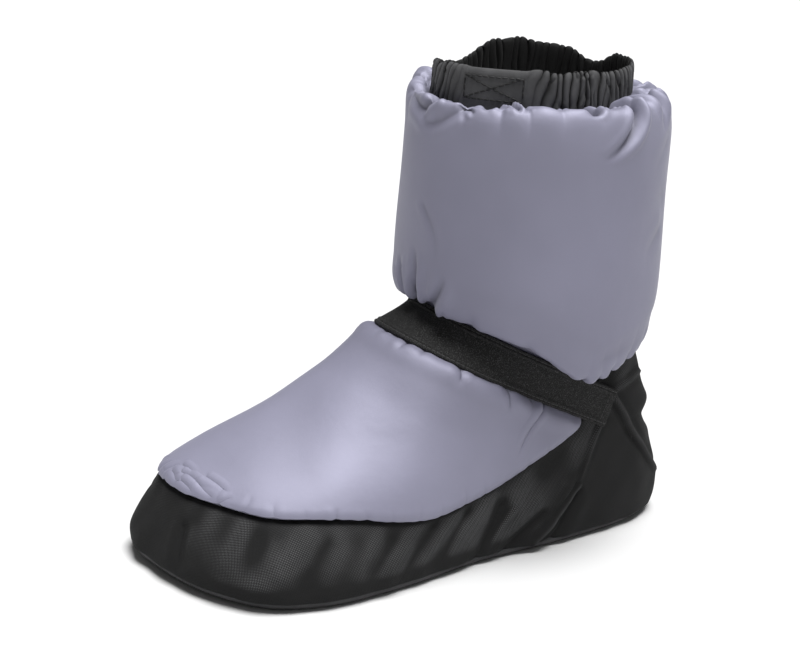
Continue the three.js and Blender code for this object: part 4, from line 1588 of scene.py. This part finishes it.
def build_lining():
    """Sock-shaped lining from under the collar down to the insole and on to the toe."""
    turn = np.linspace(0, 2 * math.pi, 72, endpoint=False)
    leg = (
        (SHAFT_HEIGHT - 10 * MM, 45 * MM, 38 * MM),
        (SHAFT_HEIGHT - 24 * MM, 50 * MM, 45 * MM),
        (SHAFT_HEIGHT - 50 * MM, 53 * MM, 50 * MM),
        (150 * MM, 52 * MM, 48 * MM),
        (126 * MM, 46 * MM, 38 * MM),
    )
    rings = list(evenly(leg_rings(turn, leg), 14))
    instep = np.array([-8 * MM, 0.0, 118 * MM])
    inset = 9.5 * MM
    floor = SOLE_THICKNESS + 3 * MM
    for fan in np.radians([6, 16, 28, 40, 52, 64, 76, 86]):
        away = np.array([-math.cos(fan), 0.0, -math.sin(fan)])
        centre = instep + away * 48 * MM
        rings.append(cavity_ring(centre, away, turn, inset, floor))
    for x in np.arange(0.0, 0.84, 0.1) * FOOT_LENGTH / 2:
        _, _, ridge, top, _, _ = foot_sizes(np.array(x))
        centre = np.array([x, float(ridge), (float(top) + floor) / 2])
        rings.append(cavity_ring(centre, np.array([0.0, 0.0, -1.0]), turn, inset, floor))
    points = np.array(rings)
    run = run_length(points)
    u = np.broadcast_to(turn * 45 * MM, run.shape)
    lining = cloth_mesh("lining", points, u, run)
    wall = lining.modifiers.new("Wall", "SOLIDIFY")
    wall.thickness = 1.0 * MM
    wall.offset = 0.0
    apply_modifiers(lining)
    return lining


def cavity_ring(centre, away, turn, inset, floor):
    """Ring of the foot's hollow round a centre, in the plane of away and the crossways direction."""
    direction = -np.cos(turn)[:, None] * away + np.sin(turn)[:, None] * np.array([0.0, 1.0, 0.0])
    near = np.zeros(len(turn))
    far = np.full(len(turn), 110 * MM)
    for _ in range(18):
        middle = (near + far) / 2
        p = centre + direction * middle[:, None]
        held = inside_foot(p[:, 0], p[:, 1], np.maximum(p[:, 2], BELLY_HEIGHT), inset)
        held &= (p[:, 2] > floor) & (p[:, 0] < 0.42 * FOOT_LENGTH)
        held &= (p[:, 2] < 118 * MM) | (np.abs(p[:, 0] - SHAFT_X) < 46 * MM)
        near = np.where(held, middle, near)
        far = np.where(held, far, middle)
    return centre + direction * near[:, None]


def settings():
    """The scene's bootie settings."""
    return bpy.context.scene.bootie


def colour_property(label, words, default):
    """A colour that a user can change."""
    return bpy.props.FloatVectorProperty(
        name=label, description=words, subtype="COLOR", size=3, min=0.0, max=1.0, default=default
    )


def size_property(label, words, default):
    """A length that a user can change."""
    return bpy.props.FloatProperty(
        name=label,
        description=words,
        default=default,
        min=0.0,
        precision=5,
        subtype="DISTANCE",
        unit="LENGTH",
    )


class BootieSettings(bpy.types.PropertyGroup):
    """Colours, filling and fine sizes of the bootie."""

    satin: colour_property("Satin", "Colour of shaft and vamp", (0.236, 0.233, 0.312))
    rand: colour_property("Rand", "Colour of rand and counter", (0.0095, 0.0095, 0.0098))
    elastic: colour_property("Elastic", "Colour of the instep strap", (0.008, 0.008, 0.008))
    collar: colour_property("Collar", "Colour of the ruched collar", (0.068, 0.068, 0.071))
    lining: colour_property("Lining", "Colour of the lining", (0.012, 0.012, 0.014))
    sole: colour_property("Sole", "Colour of the sole", (0.03, 0.03, 0.032))
    fill: bpy.props.FloatProperty(
        name="Padding",
        description="How tightly shaft and vamp are filled",
        default=0.7,
        min=0.0,
        max=1.0,
        subtype="FACTOR",
    )
    weave: size_property("Rand weave", "Distance between the rand's raised threads", 0.54 * MM)
    pleats: size_property("Pleat depth", "Depth of the collar's pleats", 2.1 * MM)
    stitch: size_property("Stitch", "Length of a stitch of the collar's cross", 2.7 * MM)


class BOOTIE_OT_sole(bpy.types.Operator):
    """Add the sole and the insole"""

    bl_idname = "bootie.sole"
    bl_label = "Sole and insole"

    def execute(self, context):
        dress(build_sole(), sole_material(settings().sole), "sole", "sole")
        dress(build_insole(), knit_material(settings().lining), "insole", "insole")
        return {"FINISHED"}


class BOOTIE_OT_lining(bpy.types.Operator):
    """Add the lining"""

    bl_idname = "bootie.lining"
    bl_label = "Lining"

    def execute(self, context):
        dress(build_lining(), knit_material(settings().lining), "insole", "upper")
        return {"FINISHED"}


class BOOTIE_OT_upper(bpy.types.Operator):
    """Add the padded shaft and vamp"""

    bl_idname = "bootie.upper"
    bl_label = "Shaft and vamp"

    def execute(self, context):
        satin = satin_material(settings().satin)
        for piece in (build_shaft(), build_vamp()):
            dress(piece, satin, "satin", "upper")
        return {"FINISHED"}


class BOOTIE_OT_rand(bpy.types.Operator):
    """Add the rand with its counter"""

    bl_idname = "bootie.rand"
    bl_label = "Rand"

    def execute(self, context):
        dress(build_rand(), twill_material(settings().rand, settings().weave), "twill", "rand")
        return {"FINISHED"}


class BOOTIE_OT_collar(bpy.types.Operator):
    """Add the ruched collar and its cross stitch"""

    bl_idname = "bootie.collar"
    bl_label = "Collar"

    def execute(self, context):
        chosen = settings()
        dress(build_cuff(chosen.pleats), cuff_material(chosen.collar), "cuff", "cuff")
        thread = thread_material(scaled(chosen.collar, 0.06), "Collar thread")
        dress(build_patch_stitches(chosen.stitch), thread, "cuff")
        return {"FINISHED"}


class BOOTIE_OT_strap(bpy.types.Operator):
    """Add the elastic instep strap"""

    bl_idname = "bootie.strap"
    bl_label = "Instep strap"

    def execute(self, context):
        colour = settings().elastic
        dress(build_strap(), elastic_material(colour), "elastic", "instep_strap")
        dress(build_strap_stitches(), thread_material(scaled(colour, 5.0), "Strap thread"), "elastic")
        return {"FINISHED"}


# The camera stands where the one fitted to the photograph does. Its lens is in millimetres.
CAMERA_PLACE = (0.37835, 0.6296, 0.3381)
CAMERA_AIM = (0.02813, 0.02039, 0.12128)
CAMERA_ROLL = math.radians(3.526)
CAMERA_LENS = 70.0


def add_camera():
    """Camera at the photograph's angle to the bootie."""
    back = (Vector(CAMERA_PLACE) - Vector(CAMERA_AIM)).normalized()
    right = Vector((0, 0, 1)).cross(back).normalized()
    up = back.cross(right)
    turned_right = right * math.cos(CAMERA_ROLL) + up * math.sin(CAMERA_ROLL)
    turned_up = up * math.cos(CAMERA_ROLL) - right * math.sin(CAMERA_ROLL)
    camera = bpy.data.objects.new("camera", bpy.data.cameras.new("camera"))
    bpy.context.scene.collection.objects.link(camera)
    place = Matrix((turned_right, turned_up, back)).transposed().to_4x4()
    place.translation = Vector(CAMERA_PLACE)
    camera.matrix_world = place
    camera.data.lens = CAMERA_LENS
    camera.data.sensor_width = 36.0
    camera.data.clip_start = 0.02
    bpy.context.scene.camera = camera


def add_lamp(light, place, aim):
    """Places a light so that it shines from a place to an aim."""
    lamp = bpy.data.objects.new(light.name, light)
    bpy.context.scene.collection.objects.link(lamp)
    lamp.location = place
    lamp.rotation_mode = "QUATERNION"
    lamp.rotation_quaternion = (Vector(place) - Vector(aim)).to_track_quat("Z", "Y")


def add_sun(name, towards, width, strength):
    """A very wide soft light from above."""
    light = bpy.data.lights.new(name, "SUN")
    light.angle = width
    light.energy = strength
    add_lamp(light, towards, (0, 0, 0))


def add_window(name, place, aim, size, power):
    """A soft square light."""
    light = bpy.data.lights.new(name, "AREA")
    light.size = size
    light.energy = power
    add_lamp(light, place, aim)


class BOOTIE_OT_stage(bpy.types.Operator):
    """Add floor, light and camera"""

    bl_idname = "bootie.stage"
    bl_label = "Stage"

    def execute(self, context):
        select_none()
        bpy.ops.mesh.primitive_plane_add(size=30.0, location=(0, 0, 0))
        floor = bpy.context.object
        floor.name = "floor"
        material = bpy.data.materials.new("Pale floor")
        _, shader = node_tree(material)
        shader.inputs["Base Color"].default_value = (0.6, 0.6, 0.6, 1)
        shader.inputs["Roughness"].default_value = 0.9
        floor.data.materials.append(material)
        world = bpy.data.worlds.new("Studio")
        world.use_nodes = True
        sky = world.node_tree.nodes["Background"]
        sky.inputs["Color"].default_value = (1, 1, 1, 1)
        seen = world.node_tree.nodes.new("ShaderNodeLightPath").outputs["Is Camera Ray"]
        strength = math_node(world.node_tree, "MAXIMUM", seen, 0.16)
        world.node_tree.links.new(strength, sky.inputs["Strength"])
        context.scene.world = world
        middle = (-0.02, 0.0, 0.12)
        add_sun("overhead", (-0.06, 0.15, 1.0), math.radians(34), 5.4)
        add_window("window", (0.1, 1.2, 1.0), middle, 0.7, 0.8)
        context.scene.view_settings.view_transform = "Standard"
        add_camera()
        return {"FINISHED"}


class BOOTIE_PT_panel(bpy.types.Panel):
    """Bootie pieces and colours"""

    bl_label = "Bootie"
    bl_idname = "BOOTIE_PT_panel"
    bl_space_type = "VIEW_3D"
    bl_region_type = "UI"
    bl_category = "Bootie"

    def draw(self, context):
        for name in BootieSettings.__annotations__:
            self.layout.prop(settings(), name)
        for operator in OPERATORS:
            self.layout.operator(operator.bl_idname)


OPERATORS = (
    BOOTIE_OT_stage,
    BOOTIE_OT_sole,
    BOOTIE_OT_lining,
    BOOTIE_OT_upper,
    BOOTIE_OT_rand,
    BOOTIE_OT_collar,
    BOOTIE_OT_strap,
)
CLASSES = (BootieSettings, *OPERATORS, BOOTIE_PT_panel)


def register():
    for made in CLASSES:
        bpy.utils.register_class(made)
    bpy.types.Scene.bootie = bpy.props.PointerProperty(type=BootieSettings)


def unregister():
    del bpy.types.Scene.bootie
    for made in reversed(CLASSES):
        bpy.utils.unregister_class(made)


def main():
    register()
    for operator in OPERATORS:
        family, name = operator.bl_idname.split(".")
        getattr(getattr(bpy.ops, family), name)()


if __name__ == "__main__":
    main()
